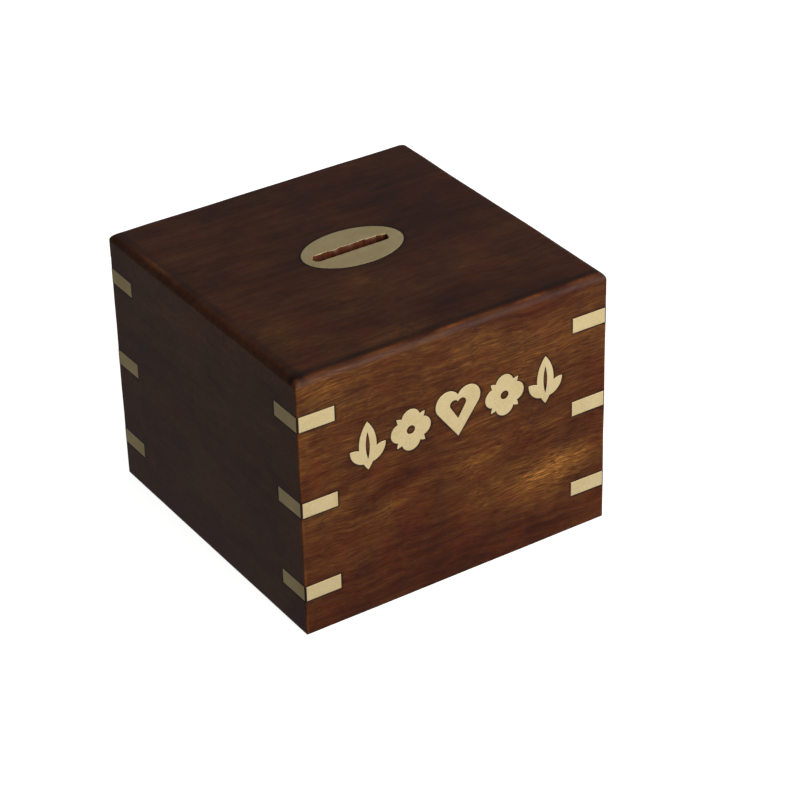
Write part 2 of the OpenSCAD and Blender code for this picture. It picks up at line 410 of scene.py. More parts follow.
# Middle across and up or back, length, width, strength and tilt of each cloud.
FRONT_PATCHES = (
    (36, 30, 21, 8, 1.3, 4),
    (10, 45, 13, 4.5, 0.75, 12),
    (-26, 41, 7, 3.2, 0.7, 8),
    (-50, 88, 16, 9, 0.3, 0),
    (8, 90, 11, 6, 0.4, 4),
    (38, 48, 12, 4, 0.35, 8),
    (-54, 40, 10, 14, 0.25, 10),
    (-8, 30, 22, 9, -0.4, 18),
    (-20, 51, 13, 5, -0.4, 16),
    (36, 95, 24, 5, -0.4, -4),
    (-14, 4, 56, 13, -0.35, 3),
)
TOP_PATCHES = (
    (-8, -30, 20, 15, 0.5, 20),
    (-9, -17, 4, 6, 0.6, 0),
    (-10, 36, 9, 8, 0.4, 10),
    (-36, 30, 20, 13, 0.2, 0),
    (-12, -53, 12, 4, 0.5, 4),
    (-50, -30, 9, 26, 0.4, 0),
    (30, -28, 12, 9, 0.5, 10),
    (40, 34, 26, 26, -0.45, 0),
    (-20, -42, 8, 6, -0.4, 0),
    (4, -46, 10, 8, -0.4, 0),
)
PATCHES = (
    *(Patch((x, -HALF, z), *shape, 2) for x, z, *shape in FRONT_PATCHES),
    *(Patch((x, y, HEIGHT), *shape, 1) for x, y, *shape in TOP_PATCHES),
)


@dataclass(frozen=True)
class Figure:
    """Broad light and dark figure of the boards: placed patches, a slow random drift and a rise in z."""

    drift: Waves = Waves(seed=5, length=70)
    cloud: Waves = Waves(seed=6, length=30)
    drift_share: float = 0.16
    rise: float = 0.0048
    middle: float = 55.0
    calm_share: float = 0.75

    def at(self, points: np.ndarray) -> np.ndarray:
        """Figure from -1, darkest, to 1.4, golden."""
        stretched = points * np.array([0.6, 0.6, 1.5])
        total = self.drift_share * (self.drift.at(stretched) + self.cloud.at(stretched))
        total += self.rise * (points[:, 2] - self.middle)
        total += sum(patch.at(points) for patch in PATCHES)
        return np.clip(total, -1, 1.4)

    def calm(self, points: np.ndarray) -> np.ndarray:
        """The same figure, evened out, as used on the top and the sides."""
        return self.calm_share * self.at(points)


# ---------------------------------------------------------------- outlines of the ornaments


@dataclass(frozen=True)
class Disc:
    """Round member of an outline."""

    x: float
    y: float
    radius: float

    def span(self, pole: np.ndarray, ways: np.ndarray, grow: float) -> tuple[np.ndarray, np.ndarray]:
        """Where rays from the pole enter and leave the disc: b -+ sqrt(r^2 - q^2 + b^2)."""
        to_centre = np.array([self.x, self.y]) - pole
        along = ways @ to_centre
        inside = (self.radius + grow) ** 2 - to_centre @ to_centre + along**2
        half = np.sqrt(np.maximum(inside, 0))
        missed = inside < 0
        return np.where(missed, np.inf, along - half), np.where(missed, -np.inf, along + half)


@dataclass(frozen=True)
class Leaf:
    """Pointed leaf where two equal discs meet, from its foot towards its turn in degrees."""

    x: float
    y: float
    length: float
    width: float
    turn: float = 0.0

    def span(self, pole: np.ndarray, ways: np.ndarray, grow: float) -> tuple[np.ndarray, np.ndarray]:
        """Where rays from the pole enter and leave the leaf: the stretch that both discs share."""
        arc = (self.length**2 + self.width**2) / (4 * self.width)
        lean = math.radians(self.turn)
        up = np.array([-math.sin(lean), math.cos(lean)])
        side = np.array([up[1], -up[0]])
        middle = np.array([self.x, self.y]) + up * self.length / 2
        offset = side * (arc - self.width / 2)
        spans = [Disc(*(middle + sign * offset), arc).span(pole, ways, grow) for sign in (1, -1)]
        near = np.maximum(spans[0][0], spans[1][0])
        far = np.minimum(spans[0][1], spans[1][1])
        missed = (near > far) | (far < 0)
        return np.where(missed, np.inf, near), np.where(missed, -np.inf, far)


@dataclass(frozen=True)
class Wedge:
    """Triangle with its tip at the foot and a level upper side: the straight-sided part of a heart."""

    tip: float
    half: float
    top: float

    def span(self, pole: np.ndarray, ways: np.ndarray, grow: float) -> tuple[np.ndarray, np.ndarray]:
        """Where rays from a pole above the tip leave the triangle, side by side."""
        rise = self.top - self.tip
        slant = math.hypot(self.half, rise)
        normals = np.array([[rise, -self.half], [-rise, -self.half], [0, slant]]) / slant
        on_side = np.array([[0, self.tip], [0, self.tip], [0, self.top]])
        gap = ((on_side - pole) * normals).sum(1) + grow
        towards = ways @ normals.T
        reach = np.where(towards > 1e-9, gap / np.maximum(towards, 1e-9), np.inf)
        near = np.where(towards < -1e-9, gap / np.minimum(towards, -1e-9), -np.inf)
        far, start = reach.min(1), near.max(1)
        missed = start > far
        return np.where(missed, np.inf, start), np.where(missed, -np.inf, far)


@dataclass(frozen=True)
class Outline:
    """A shape seen whole from its pole, with a window round the same pole."""

    pole: tuple[float, float]
    members: tuple
    window: tuple

    def reach(self, members: tuple, angles: np.ndarray, grow: float) -> np.ndarray:
        """Distance from the pole to the furthest edge of any member, for each angle."""
        ways = np.stack([np.cos(angles), np.sin(angles)], -1)
        pole = np.array(self.pole)
        return np.max([member.span(pole, ways, grow)[1] for member in members], axis=0)

    def edge(self, members: tuple, grow: float) -> np.ndarray:
        """Points of the members' common edge, grown all round."""
        angles = circle(ORNAMENT_ANGLES)
        reach = self.reach(members, angles, grow)
        return np.array(self.pole) + np.stack([np.cos(angles), np.sin(angles)], -1) * reach[:, None]

    def loop(self, grow: float) -> np.ndarray:
        """Outer edge, grown all round."""
        return self.edge(self.members, grow)

    def window_loop(self, shrink: float) -> np.ndarray:
        """Edge of the window, shrunk all round."""
        return self.edge(self.window, -shrink)


def heart_parts(lobe: float, side: float, drop: float, rise: float) -> tuple:
    """Two lobes and the wedge whose sides touch them.

    Args:
        lobe: Radius of the lobes.
        side: Distance of each lobe's centre from the middle.
        drop: Distance from the lobes' centres down to the tip.
        rise: Height of the lobes' centres.

    Returns:
        The members of the outline.
    """
    far = math.hypot(side, drop)
    edge = math.sqrt(far**2 - lobe**2)
    lean = math.atan2(side, drop) + math.asin(lobe / far)
    half, top = edge * math.sin(lean), edge * math.cos(lean) - drop + rise
    return (Disc(side, rise, lobe), Disc(-side, rise, lobe), Wedge(rise - drop, half, top))


class OrnamentKind(Enum):
    """The three ornaments, each drawn about the middle of the band."""

    LEAF = "leaf"
    FLOWER = "flower"
    HEART = "heart"

    def outline(self, height: float) -> Outline:
        """The ornament's outline for a band of this height."""
        if self is OrnamentKind.HEART:
            lobe, lobe_side, window_lobe, window_side = 4.9, 4.2, 1.7, 1.55
            rise, window_height = height / 2 - lobe, height * 0.4
            window = heart_parts(window_lobe, window_side, window_height - window_lobe, rise - 1.0)
            return Outline((0.0, rise - 2.2), heart_parts(lobe, lobe_side, height - lobe, rise), window)
        if self is OrnamentKind.FLOWER:
            petal_out, petal, eye = 4.3, 3.7, 1.6
            places = ((petal_out * math.cos(turn), petal_out * math.sin(turn)) for turn in circle(4))
            petals = tuple(Disc(*place, petal) for place in places)
            sepals = tuple(Leaf(0, 0, 8, 3, turn) for turn in (45, 135, 225, 315))
            return Outline((0.0, 0.0), petals + sepals, (Disc(0, 0, eye),))
        foot, vein_length, spread = -height / 2, 10.5, 48
        leaflets = tuple(Leaf(0, foot + 2.6, 9.5, 4.4, turn) for turn in (spread, -spread))
        vein = Leaf(0, foot + (height - vein_length) / 2, vein_length, 1.5)
        return Outline((0.0, foot + 6.2), (Leaf(0, foot, height, 7), *leaflets), (vein,))


# ---------------------------------------------------------------- finishes


def linear(code: str) -> tuple[float, float, float, float]:
    """Linear colour of an sRGB hex code such as "#5f3a26"."""
    parts = [int(code[i : i + 2], 16) / 255 for i in (1, 3, 5)]
    return (*(v / 12.92 if v <= 0.04045 else ((v + 0.055) / 1.055) ** 2.4 for v in parts), 1.0)


class Recipe:
    """A material in the making: its nodes, its shader and its place in millimetres."""

    def __init__(self, name: str) -> None:
        """Starts a material of this name."""
        self.material = bpy.data.materials.new(name)
        self.material.use_nodes = True
        self.tree = self.material.node_tree
        self.shader = self.tree.nodes["Principled BSDF"]
        metres = self.add("ShaderNodeTexCoord").outputs["Object"]
        scale = self.add("ShaderNodeVectorMath", {0: metres, "Scale": 1 / MM}, operation="SCALE")
        self.place = scale.outputs[0]

    def add(
        self,
        kind: str,
        inputs: dict[str | int, object] | None = None,
        stops: Sequence[tuple[float, str]] = (),
        **settings: object,
    ) -> bpy.types.Node:
        """Adds a node.

        Args:
            kind: The node's type name.
            inputs: For each input, the socket that feeds it or its value.
            stops: Places and hex colours, for a colour ramp.
            **settings: Properties set on the node itself.

        Returns:
            The new node.
        """
        node = self.tree.nodes.new(kind)
        for key, value in settings.items():
            setattr(node, key, value)
        for key, value in (inputs or {}).items():
            if isinstance(value, bpy.types.NodeSocket):
                self.tree.links.new(value, node.inputs[key])
            else:
                node.inputs[key].default_value = value
        for index, (place, code) in enumerate(stops):
            if index >= len(node.color_ramp.elements):
                node.color_ramp.elements.new(place)
            node.color_ramp.elements[index].position = place
            node.color_ramp.elements[index].color = linear(code)
        return node

    def total(self, start: object, *terms: tuple[object, object]) -> bpy.types.NodeSocket:
        """Start plus each source times its weight."""
        for source, weight in terms:
            inputs = {0: source, 1: weight, 2: start}
            start = self.add("ShaderNodeMath", inputs, operation="MULTIPLY_ADD").outputs[0]
        return start

    def spread(self, source: object, low: float, high: float, to: Sequence[float]) -> bpy.types.NodeSocket:
        """Stretches the source from between low and high to between the two ends, and holds it there."""
        inputs = {"Value": source, "From Min": low, "From Max": high, "To Min": to[0], "To Max": to[1]}
        return self.add("ShaderNodeMapRange", inputs).outputs[0]

    def layers(self, base: object, *coats: tuple[object, str]) -> bpy.types.NodeSocket:
        """Lays hex colours over a base one after another, each by its share."""
        for share, code in coats:
            inputs = {0: share, 6: base, 7: linear(code)}
            base = self.add("ShaderNodeMix", inputs, data_type="RGBA").outputs[2]
        return base

    def mark(self, name: str) -> bpy.types.NodeSocket:
        """A number that the mesh keeps for each of its points."""
        return self.add("ShaderNodeAttribute", attribute_name=name).outputs["Fac"]

    def finish(
        self, sockets: dict[str, object], height: object, strength: float, depth_mm: float
    ) -> bpy.types.Material:
        """Sets the shader's sockets and its fine relief.

        Args:
            sockets: For each of the shader's sockets, the socket that feeds it or its value.
            height: Source of the relief.
            strength: Strength of the relief.
            depth_mm: Depth of the relief in millimetres.

        Returns:
            The finished material.
        """
        relief = {"Height": height, "Strength": strength, "Distance": depth_mm * MM}
        sockets = {**sockets, "Normal": self.add("ShaderNodeBump", relief).outputs[0]}
        for key, value in sockets.items():
            if isinstance(value, bpy.types.NodeSocket):
                self.tree.links.new(value, self.shader.inputs[key])
            else:
                self.shader.inputs[key].default_value = value
        return self.material


@dataclass(frozen=True)
class Lumps:
    """Noise whose lumps measure the given millimetres along X, Y and Z."""

    size: tuple[float, float, float]
    detail: float = 3.0
    roughness: float = 0.55

    def on(self, recipe: Recipe, place: bpy.types.NodeSocket) -> bpy.types.NodeSocket:
        """Adds the noise to a recipe."""
        scale = tuple(1 / length for length in self.size)
        mapped = recipe.add("ShaderNodeMapping", {"Vector": place, "Scale": scale}).outputs[0]
        inputs = {"Vector": mapped, "Scale": 1.0, "Detail": self.detail, "Roughness": self.roughness}
        return recipe.add("ShaderNodeTexNoise", inputs).outputs[0]


@dataclass(frozen=True)
class StainedWood:
    """Figured hardwood such as mango or sheesham, planed, stained dark and rubbed with polish.

    The eye sees fine fibres along the board, golden clouds where the staining took less, short dark
    pores, darker colour round the brass, a painted dark line of shade inside the top's rounded edges,
    and a satin gloss on edges painted lighter, partly as rubbing and partly as a painted highlight.
    """

    name: str
    quarter_turns: int = 0
    base: float = 0.21
    bend_length: float = 30.0
    bend: tuple[float, float, float] = (2.0, 7.0, 7.0)
    fibre: Lumps = Lumps((6.5, 0.42, 0.42), 3.0, 0.6)
    streak: Lumps = Lumps((30, 2.2, 2.2), 4.0, 0.6)
    cloud: Lumps = Lumps((26, 11, 11), 3.0)
    curl: Lumps = Lumps((3.6, 9, 9), 2.0)
    pores: Lumps = Lumps((3.2, 0.3, 0.3), 1.0)
    breakup: Lumps = Lumps((2.2, 2.2, 2.2), 3.0)
    blush: Lumps = Lumps((13, 13, 13), 4.0, 0.6)
    colours: tuple[tuple[float, str], ...] = (
        (0.0, "#2a1008"),
        (0.25, "#431c0a"),
        (0.5, "#593114"),
        (0.7, "#70451c"),
        (0.9, "#8b5725"),
        (1.0, "#ac7136"),
    )
    red_cloud: str = "#6a2812"
    dark_cloud: str = "#241a17"
    pore: str = "#241009"
    # Lighter colour of rubbed edges; on the top's rounded edges it also paints a highlight.
    rubbed: str = "#a2602f"
    # Dark colour of stain caught beside the brass; on the top it also paints a dark line of shade inside the
    # rounded edges.
    caught_stain_and_shade: str = "#1a0804"
    raw: str = "#73402c"
    gloss: tuple[float, float] = (0.31, 0.38)
    rub_dulls: float = 0.28

    def build(self) -> bpy.types.Material:
        """Makes the material."""
        recipe = Recipe(self.name)
        turn = (0, 0, -self.quarter_turns * math.pi / 2)
        turned = recipe.add("ShaderNodeMapping", {"Vector": recipe.place, "Rotation": turn}).outputs[0]
        drift = {"Vector": turned, "Scale": 1 / self.bend_length, "Detail": 2.0}
        bend = recipe.add("ShaderNodeTexNoise", drift).outputs["Color"]
        pull = recipe.add("ShaderNodeVectorMath", {0: bend, 1: self.bend}, operation="MULTIPLY").outputs[0]
        bent = recipe.add("ShaderNodeVectorMath", {0: turned, 1: pull}, operation="ADD").outputs[0]
        fibre, streak, cloud, curl, pores = (
            lumps.on(recipe, bent) for lumps in (self.fibre, self.streak, self.cloud, self.curl, self.pores)
        )
        breakup, blush = (lumps.on(recipe, recipe.place) for lumps in (self.breakup, self.blush))
        figure = recipe.mark("figure")
        gold = recipe.spread(figure, -0.4, 1.2, (0.5, 2.2))
        centred = recipe.total(-0.5, (fibre, 1.0))
        lines = recipe.total(-0.43, (streak, 0.7), (curl, 0.16), (centred, gold))
        tone = recipe.total(self.base, (figure, 0.38), (cloud, 0.45), (lines, recipe.mark("grain")))
        wear = {0: recipe.mark("wear"), 1: breakup}
        worn_and_highlighted = recipe.add("ShaderNodeMath", wear, operation="MULTIPLY", use_clamp=True).outputs[0]
        colour = recipe.layers(
            recipe.add("ShaderNodeValToRGB", {"Fac": tone}, self.colours).outputs[0],
            (recipe.spread(blush, 0.5, 0.7, (0.0, 0.24)), self.red_cloud),
            (recipe.spread(blush, 0.48, 0.3, (0.0, 0.22)), self.dark_cloud),
            (recipe.spread(pores, 0.6, 0.72, (0.0, 0.4)), self.pore),
            # Rubbed edges, lighter; on the top's rounded edges partly a painted highlight.
            (worn_and_highlighted, self.rubbed),
            # Stain beside the brass, and on the top a painted dark line of shade inside the rounded edges.
            (recipe.mark("stain"), self.caught_stain_and_shade),
            (recipe.mark("raw"), self.raw),
        )
        gloss = recipe.spread(breakup, 0.3, 0.7, self.gloss)
        sockets = {
            "Base Color": colour,
            "Roughness": recipe.total(gloss, (recipe.mark("rub"), self.rub_dulls)),
            "IOR": 1.46,
            "Specular IOR Level": 0.28,
        }
        height = recipe.total(0.0, (fibre, 0.6), (pores, -0.35), (curl, 0.45))
        return recipe.finish(sockets, height, 0.35, 0.06)


@dataclass(frozen=True)
class BareWood:
    """The same hardwood inside and underneath: sanded, thinly stained and left dull."""

    name: str = "hardwood_sanded_bare"
    fibre: Lumps = Lumps((9, 0.5, 0.5), 3.0, 0.6)
    streak: Lumps = Lumps((40, 3, 3), 4.0, 0.6)
    pores: Lumps = Lumps((3.5, 0.35, 0.35), 1.0)
    colours: tuple[tuple[float, str], ...] = (
        (0.0, "#4a2c1a"),
        (0.45, "#7b5233"),
        (0.75, "#9a6d45"),
        (1.0, "#b98d5f"),
    )

    def build(self) -> bpy.types.Material:
        """Makes the material."""
        recipe = Recipe(self.name)
        fibre, streak, pores = (
            lumps.on(recipe, recipe.place) for lumps in (self.fibre, self.streak, self.pores)
        )
        tone = recipe.total(-0.18, (streak, 0.9), (fibre, 0.45))
        colour = recipe.layers(
            recipe.add("ShaderNodeValToRGB", {"Fac": tone}, self.colours).outputs[0],
            (recipe.spread(pores, 0.6, 0.7, (0.0, 0.5)), "#3a2113"),
        )
        return recipe.finish({"Base Color": colour, "Roughness": 0.72}, fibre, 0.5, 0.08)


@dataclass(frozen=True)
class Brass:
    """Brass: sheet sanded flush with the wood goes pale and dull; turned brass stays warmer and shinier."""

    name: str
    colours: tuple[str, str] = ("#d8c391", "#eddbaf")
    roughness: tuple[float, float] = (0.6, 0.72)
    scratch: Lumps = Lumps((7.0, 7.0, 0.16), 2.0, 0.6)
    speckle: Lumps = Lumps((0.7, 0.7, 0.7), 3.0, 0.6)
    cloud: Lumps = Lumps((9, 9, 9), 2.0)
    metallic: float = 0.85

    def build(self) -> bpy.types.Material:
        """Makes the material."""
        recipe = Recipe(self.name)
        scratch, speckle, cloud = (
            lumps.on(recipe, recipe.place) for lumps in (self.scratch, self.speckle, self.cloud)
        )
        tone = recipe.total(-0.28, (cloud, 0.7), (speckle, 0.5), (scratch, 0.3))
        stops = tuple(zip((0.2, 0.8), self.colours))
        colour = recipe.add("ShaderNodeValToRGB", {"Fac": tone}, stops).outputs[0]
        dull = recipe.spread(speckle, 0.3, 0.7, self.roughness)
        sockets = {"Base Color": colour, "Roughness": dull, "Metallic": self.metallic}
        return recipe.finish(sockets, scratch, 0.15, 0.012)


@dataclass(frozen=True)
class Filler:
    """Glue darkened by staining and sanding dust in the line round each piece of brass."""

    name: str = "filler_glue_dark"
    speckle: Lumps = Lumps((0.5, 0.5, 0.5), 2.0)
    colours: tuple[tuple[float, str], ...] = ((0.3, "#120805"), (0.8, "#2b170d"))

    def build(self) -> bpy.types.Material:
        """Makes the material."""
        recipe = Recipe(self.name)
        speckle = self.speckle.on(recipe, recipe.place)
        colour = recipe.add("ShaderNodeValToRGB", {"Fac": speckle}, self.colours).outputs[0]
        return recipe.finish({"Base Color": colour, "Roughness": 0.6}, speckle, 0.4, 0.05)


class Finishes:
    """Every finish of the box, made once."""

    def __init__(self) -> None:
        """Builds the materials."""
        self.front_wood = StainedWood("hardwood_stained_polished").build()
        self.side_wood = StainedWood("hardwood_stained_polished_sides", quarter_turns=1).build()
        self.bare = BareWood().build()
        self.inlay = Brass("brass_sheet_sanded").build()
        warm, shiny, fine = ("#b99a5a", "#dcc07c"), (0.28, 0.4), Lumps((0.2, 0.2, 0.2))
        self.turned = Brass("brass_turned", warm, shiny, fine, metallic=1.0).build()
        self.filler = Filler().build()

    def wood_for(self, face: Face) -> bpy.types.Material:
        """The stained wood whose grain runs along this wall."""
        return self.side_wood if face in (Face.LEFT, Face.RIGHT) else self.front_wood


def dress(
    piece: bpy.types.Object,
    body: str,
    slot: Slot,
    material: bpy.types.Material,
    *nodes: str,
) -> None:
    """Shades a piece, gives it its finish, hangs it on its body and hides the nodes it stands for."""
    piece.data.materials.clear()
    piece.data.materials.append(material)
    smooth(piece)
    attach(piece, body)
    if nodes:
        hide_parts(*nodes)
    LOG.info("%s: %d points, on %s", piece.name, len(piece.data.vertices), body)


# ---------------------------------------------------------------- brass let into the walls


def box_gap(points: np.ndarray, low: np.ndarray, high: np.ndarray) -> np.ndarray:
    """Distance from each point to a rectangle: the length of what lies beyond its sides."""
    beyond = np.maximum(np.maximum(low - points, points - high), 0)
    return np.linalg.norm(beyond, axis=-1)


def glue_corners(thick: float) -> tuple[tuple[float, float], ...]:
    """Growth and depth of each corner of the glue's cross-section, a little below the face."""
    return ((0, RIDGE), (GLUE_GAP, RIDGE / 2), (GLUE_GAP, thick), (0, thick))


@dataclass(frozen=True)
class Strip:
    """A brass strip let in at a corner, worked out on the front and turned onto its face.

    On the face, t runs from the corner and z upwards; d is the depth below the face.
    """

    face: Face
    end: int
    level: str
    half: float = HALF
    land: float = 0.6
    eased: float = 0.15
    max_tilt: float = 0.9

    @property
    def node(self) -> str:
        """Name of the CAD node."""
        return f"strip_{self.face.name.lower()}_{self.face.ends[self.end]}_{self.level}"

    @property
    def number(self) -> int:
        """A number of its own, which seeds its small differences."""
        return 10 * self.face.value + 5 * self.end + ("low", "middle", "top").index(self.level)

    def sizes(self) -> tuple[float, float, float, float]:
        """Far end, middle height, half height and thickness, from the CAD node's box."""
        low, high = node_box(self.node)
        run = 0 if self.face in (Face.FRONT, Face.BACK) else 1
        out = 1 - run
        reach = self.land + high[run] - low[run]
        return reach, (low[2] + high[2]) / 2, (high[2] - low[2]) / 2, high[out] - low[out]

    def place(self, t: np.ndarray, z: np.ndarray, d: np.ndarray) -> np.ndarray:
        """Points at t, z and d, tilted a little about the strip's middle and turned onto the face."""
        tilt = math.radians(np.random.default_rng(self.number).uniform(-self.max_tilt, self.max_tilt))
        reach, middle, _, _ = self.sizes()
        t, z, d = np.broadcast_arrays(t, z, d)
        lifted = z + (t - reach / 2) * math.tan(tilt)
        side = -1 if self.end == 0 else 1
        return self.face.turn(np.stack([side * (self.half - t), -self.half + d, middle + lifted], -1))

    def loop(self, grow: float, d: float) -> np.ndarray:
        """The strip's outline grown all round at a depth; the mitre moves its inner end by the depth."""
        reach, _, half_h, _ = self.sizes()
        walk = square_walk(8)
        start = self.land + d - grow * math.sqrt(2)
        t = start + (walk[:, 0] + 1) / 2 * (reach + grow - start)
        return self.place(t, walk[:, 1] * (half_h + grow), np.full(len(walk), d))

    def brass(self, name: str) -> bpy.types.Object:
        """The brass: an uneven sheet whose edges are eased by a share of the round_drop."""
        reach, _, half_h, thick = self.sizes()
        along, up = (crowded(21) + 1) / 2, crowded(15) * half_h
        t_up, z = np.meshgrid(self.land + along * (reach - self.land), up, indexing="ij")
        edge = np.minimum(np.minimum(t_up - self.land, reach - t_up), half_h - np.abs(z))
        uneven = 0.015 * (1 + Waves(self.number, 6).at(np.stack([t_up, z, 0 * z], -1).reshape(-1, 3)))
        upper = self.place(t_up, z, round_drop(edge, self.eased) * 0.6 + uneven.reshape(z.shape))
        t_low = self.land + thick + along[:, None] * (reach - self.land - thick) + 0 * z
        return slab_solid(name, upper, self.place(t_low, z, np.full(z.shape, thick)))

    def filler(self) -> bpy.types.Object:
        """The ring of glue round the brass, just below the face."""
        return ring_solid("filler", np.stack([self.loop(g, d) for g, d in glue_corners(self.sizes()[3])]))

    def cutter(self) -> bpy.types.Object:
        """The recess, from its floor to above the face."""
        sections = np.stack([self.loop(GLUE_GAP, d) for d in (self.sizes()[3], -CLEAR)])
        return bar_solid("cutter", sections)

    def gap(self, points: np.ndarray) -> np.ndarray:
        """Distance on the face from points, worked out on the front, to the brass."""
        reach, middle, half_h, _ = self.sizes()
        t = self.half + points[:, 0] * (1 if self.end == 0 else -1)
        on_face = np.stack([t, points[:, 2]], -1)
        return box_gap(on_face, np.array([self.land, middle - half_h]), np.array([reach, middle + half_h]))


@dataclass(frozen=True)
class Ornament:
    """A brass ornament let into the front: x to the right, z upwards, d below the face."""

    node: str
    kind: OrnamentKind
    half: float = HALF

    def sizes(self) -> tuple[float, float, float, float]:
        """Middle x and z, band height and thickness, from the CAD node's box."""
        low, high = node_box(self.node)
        return (low[0] + high[0]) / 2, (low[2] + high[2]) / 2, high[2] - low[2], high[1] - low[1]

    def outline(self) -> Outline:
        """The outline at the height of the band."""
        return self.kind.outline(self.sizes()[2])

    def place(self, flats: Sequence[np.ndarray], depths: Sequence[float]) -> np.ndarray:
        """Puts flat drawings on the front, each at its depth."""
        x, z, _, _ = self.sizes()
        return np.stack([
            np.stack([flat[:, 0] + x, np.full(len(flat), d - self.half), flat[:, 1] + z], -1)
            for flat, d in zip(flats, depths)
        ])

    def brass(self, name: str) -> bpy.types.Object:
        """The brass: rings that blend from the window's edge to the outer edge, with eased edges."""
        outline = self.outline()
        cuts = (0, 0, 0.03, 0.09, 0.15)
        depth = [self.sizes()[3], 0.09, 0.03, 0.0, 0.0]
        inner = [outline.window_loop(-cut) for cut in cuts]
        outer = [outline.loop(-cut) for cut in cuts[::-1]]
        between = [inner[-1] + (outer[0] - inner[-1]) * share for share in (0.25, 0.5, 0.75)]
        depths = depth + [0.0] * len(between) + depth[::-1]
        return ring_solid(name, self.place(inner + between + outer, depths))

    def filler(self) -> bpy.types.Object:
        """The rings of glue round the brass and inside its window."""
        outline = self.outline()
        growths, depths = zip(*glue_corners(self.sizes()[3]))
        edges = ([shape(grow) for grow in growths] for shape in (outline.loop, outline.window_loop))
        return joined([ring_solid("filler", self.place(flats, depths)) for flats in edges])

    def cutter(self) -> bpy.types.Object:
        """The recess, which leaves the wood of the window standing."""
        outline, thick = self.outline(), self.sizes()[3]
        outer, inner = outline.loop(GLUE_GAP), outline.window_loop(GLUE_GAP)
        return ring_solid("cutter", self.place((inner, inner, outer, outer), (thick, -CLEAR, -CLEAR, thick)))

    def gap(self, points: np.ndarray) -> np.ndarray:
        """Distance on the front from points to the brass, along the ray from the pole."""
        outline = self.outline()
        x, z, _, _ = self.sizes()
        offset = points[:, [0, 2]] - np.array([x, z]) - np.array(outline.pole)
        angle, far = np.arctan2(offset[:, 1], offset[:, 0]), np.hypot(offset[:, 0], offset[:, 1])
        outside = far - outline.reach(outline.members, angle, 0)
        inside = outline.reach(outline.window, angle, 0) - far
        return np.maximum(np.maximum(outside, inside), 0)


ORNAMENTS = (
    Ornament("inlay_leaf_left", OrnamentKind.LEAF),
    Ornament("inlay_flower_left", OrnamentKind.FLOWER),
    Ornament("inlay_heart", OrnamentKind.HEART),
    Ornament("inlay_flower_right", OrnamentKind.FLOWER),
    Ornament("inlay_leaf_right", OrnamentKind.LEAF),
)
LEVELS = ("low", "middle", "top")
STRIPS = tuple(Strip(face, end, level) for face in Face for end in (0, 1) for level in LEVELS)


def halo(gap: np.ndarray) -> np.ndarray:
    """Stain caught beside the brass: a dark line within half a millimetre and a faint wide shade."""
    return 0.9 * bell(gap, 0.6) + 0.25 * np.exp(-gap / 2.5)


def rawness(depth: np.ndarray) -> np.ndarray:
    """Raw wood below the outer face: none down to 1.2 mm, and all that there is from 3.2 mm."""
    return np.clip((depth - 1.2) / 2, 0, 1) * 0.75


def merged(values: Sequence[float], apart: float) -> np.ndarray:
    """Sorted values, without those closer than apart to the one kept before them."""
    kept: list[float] = []
    for value in sorted(values):
        if not kept or value - kept[-1] >= apart:
            kept.append(float(value))
    kept[-1] = float(max(values))
    return np.array(kept)


# ---------------------------------------------------------------- walls


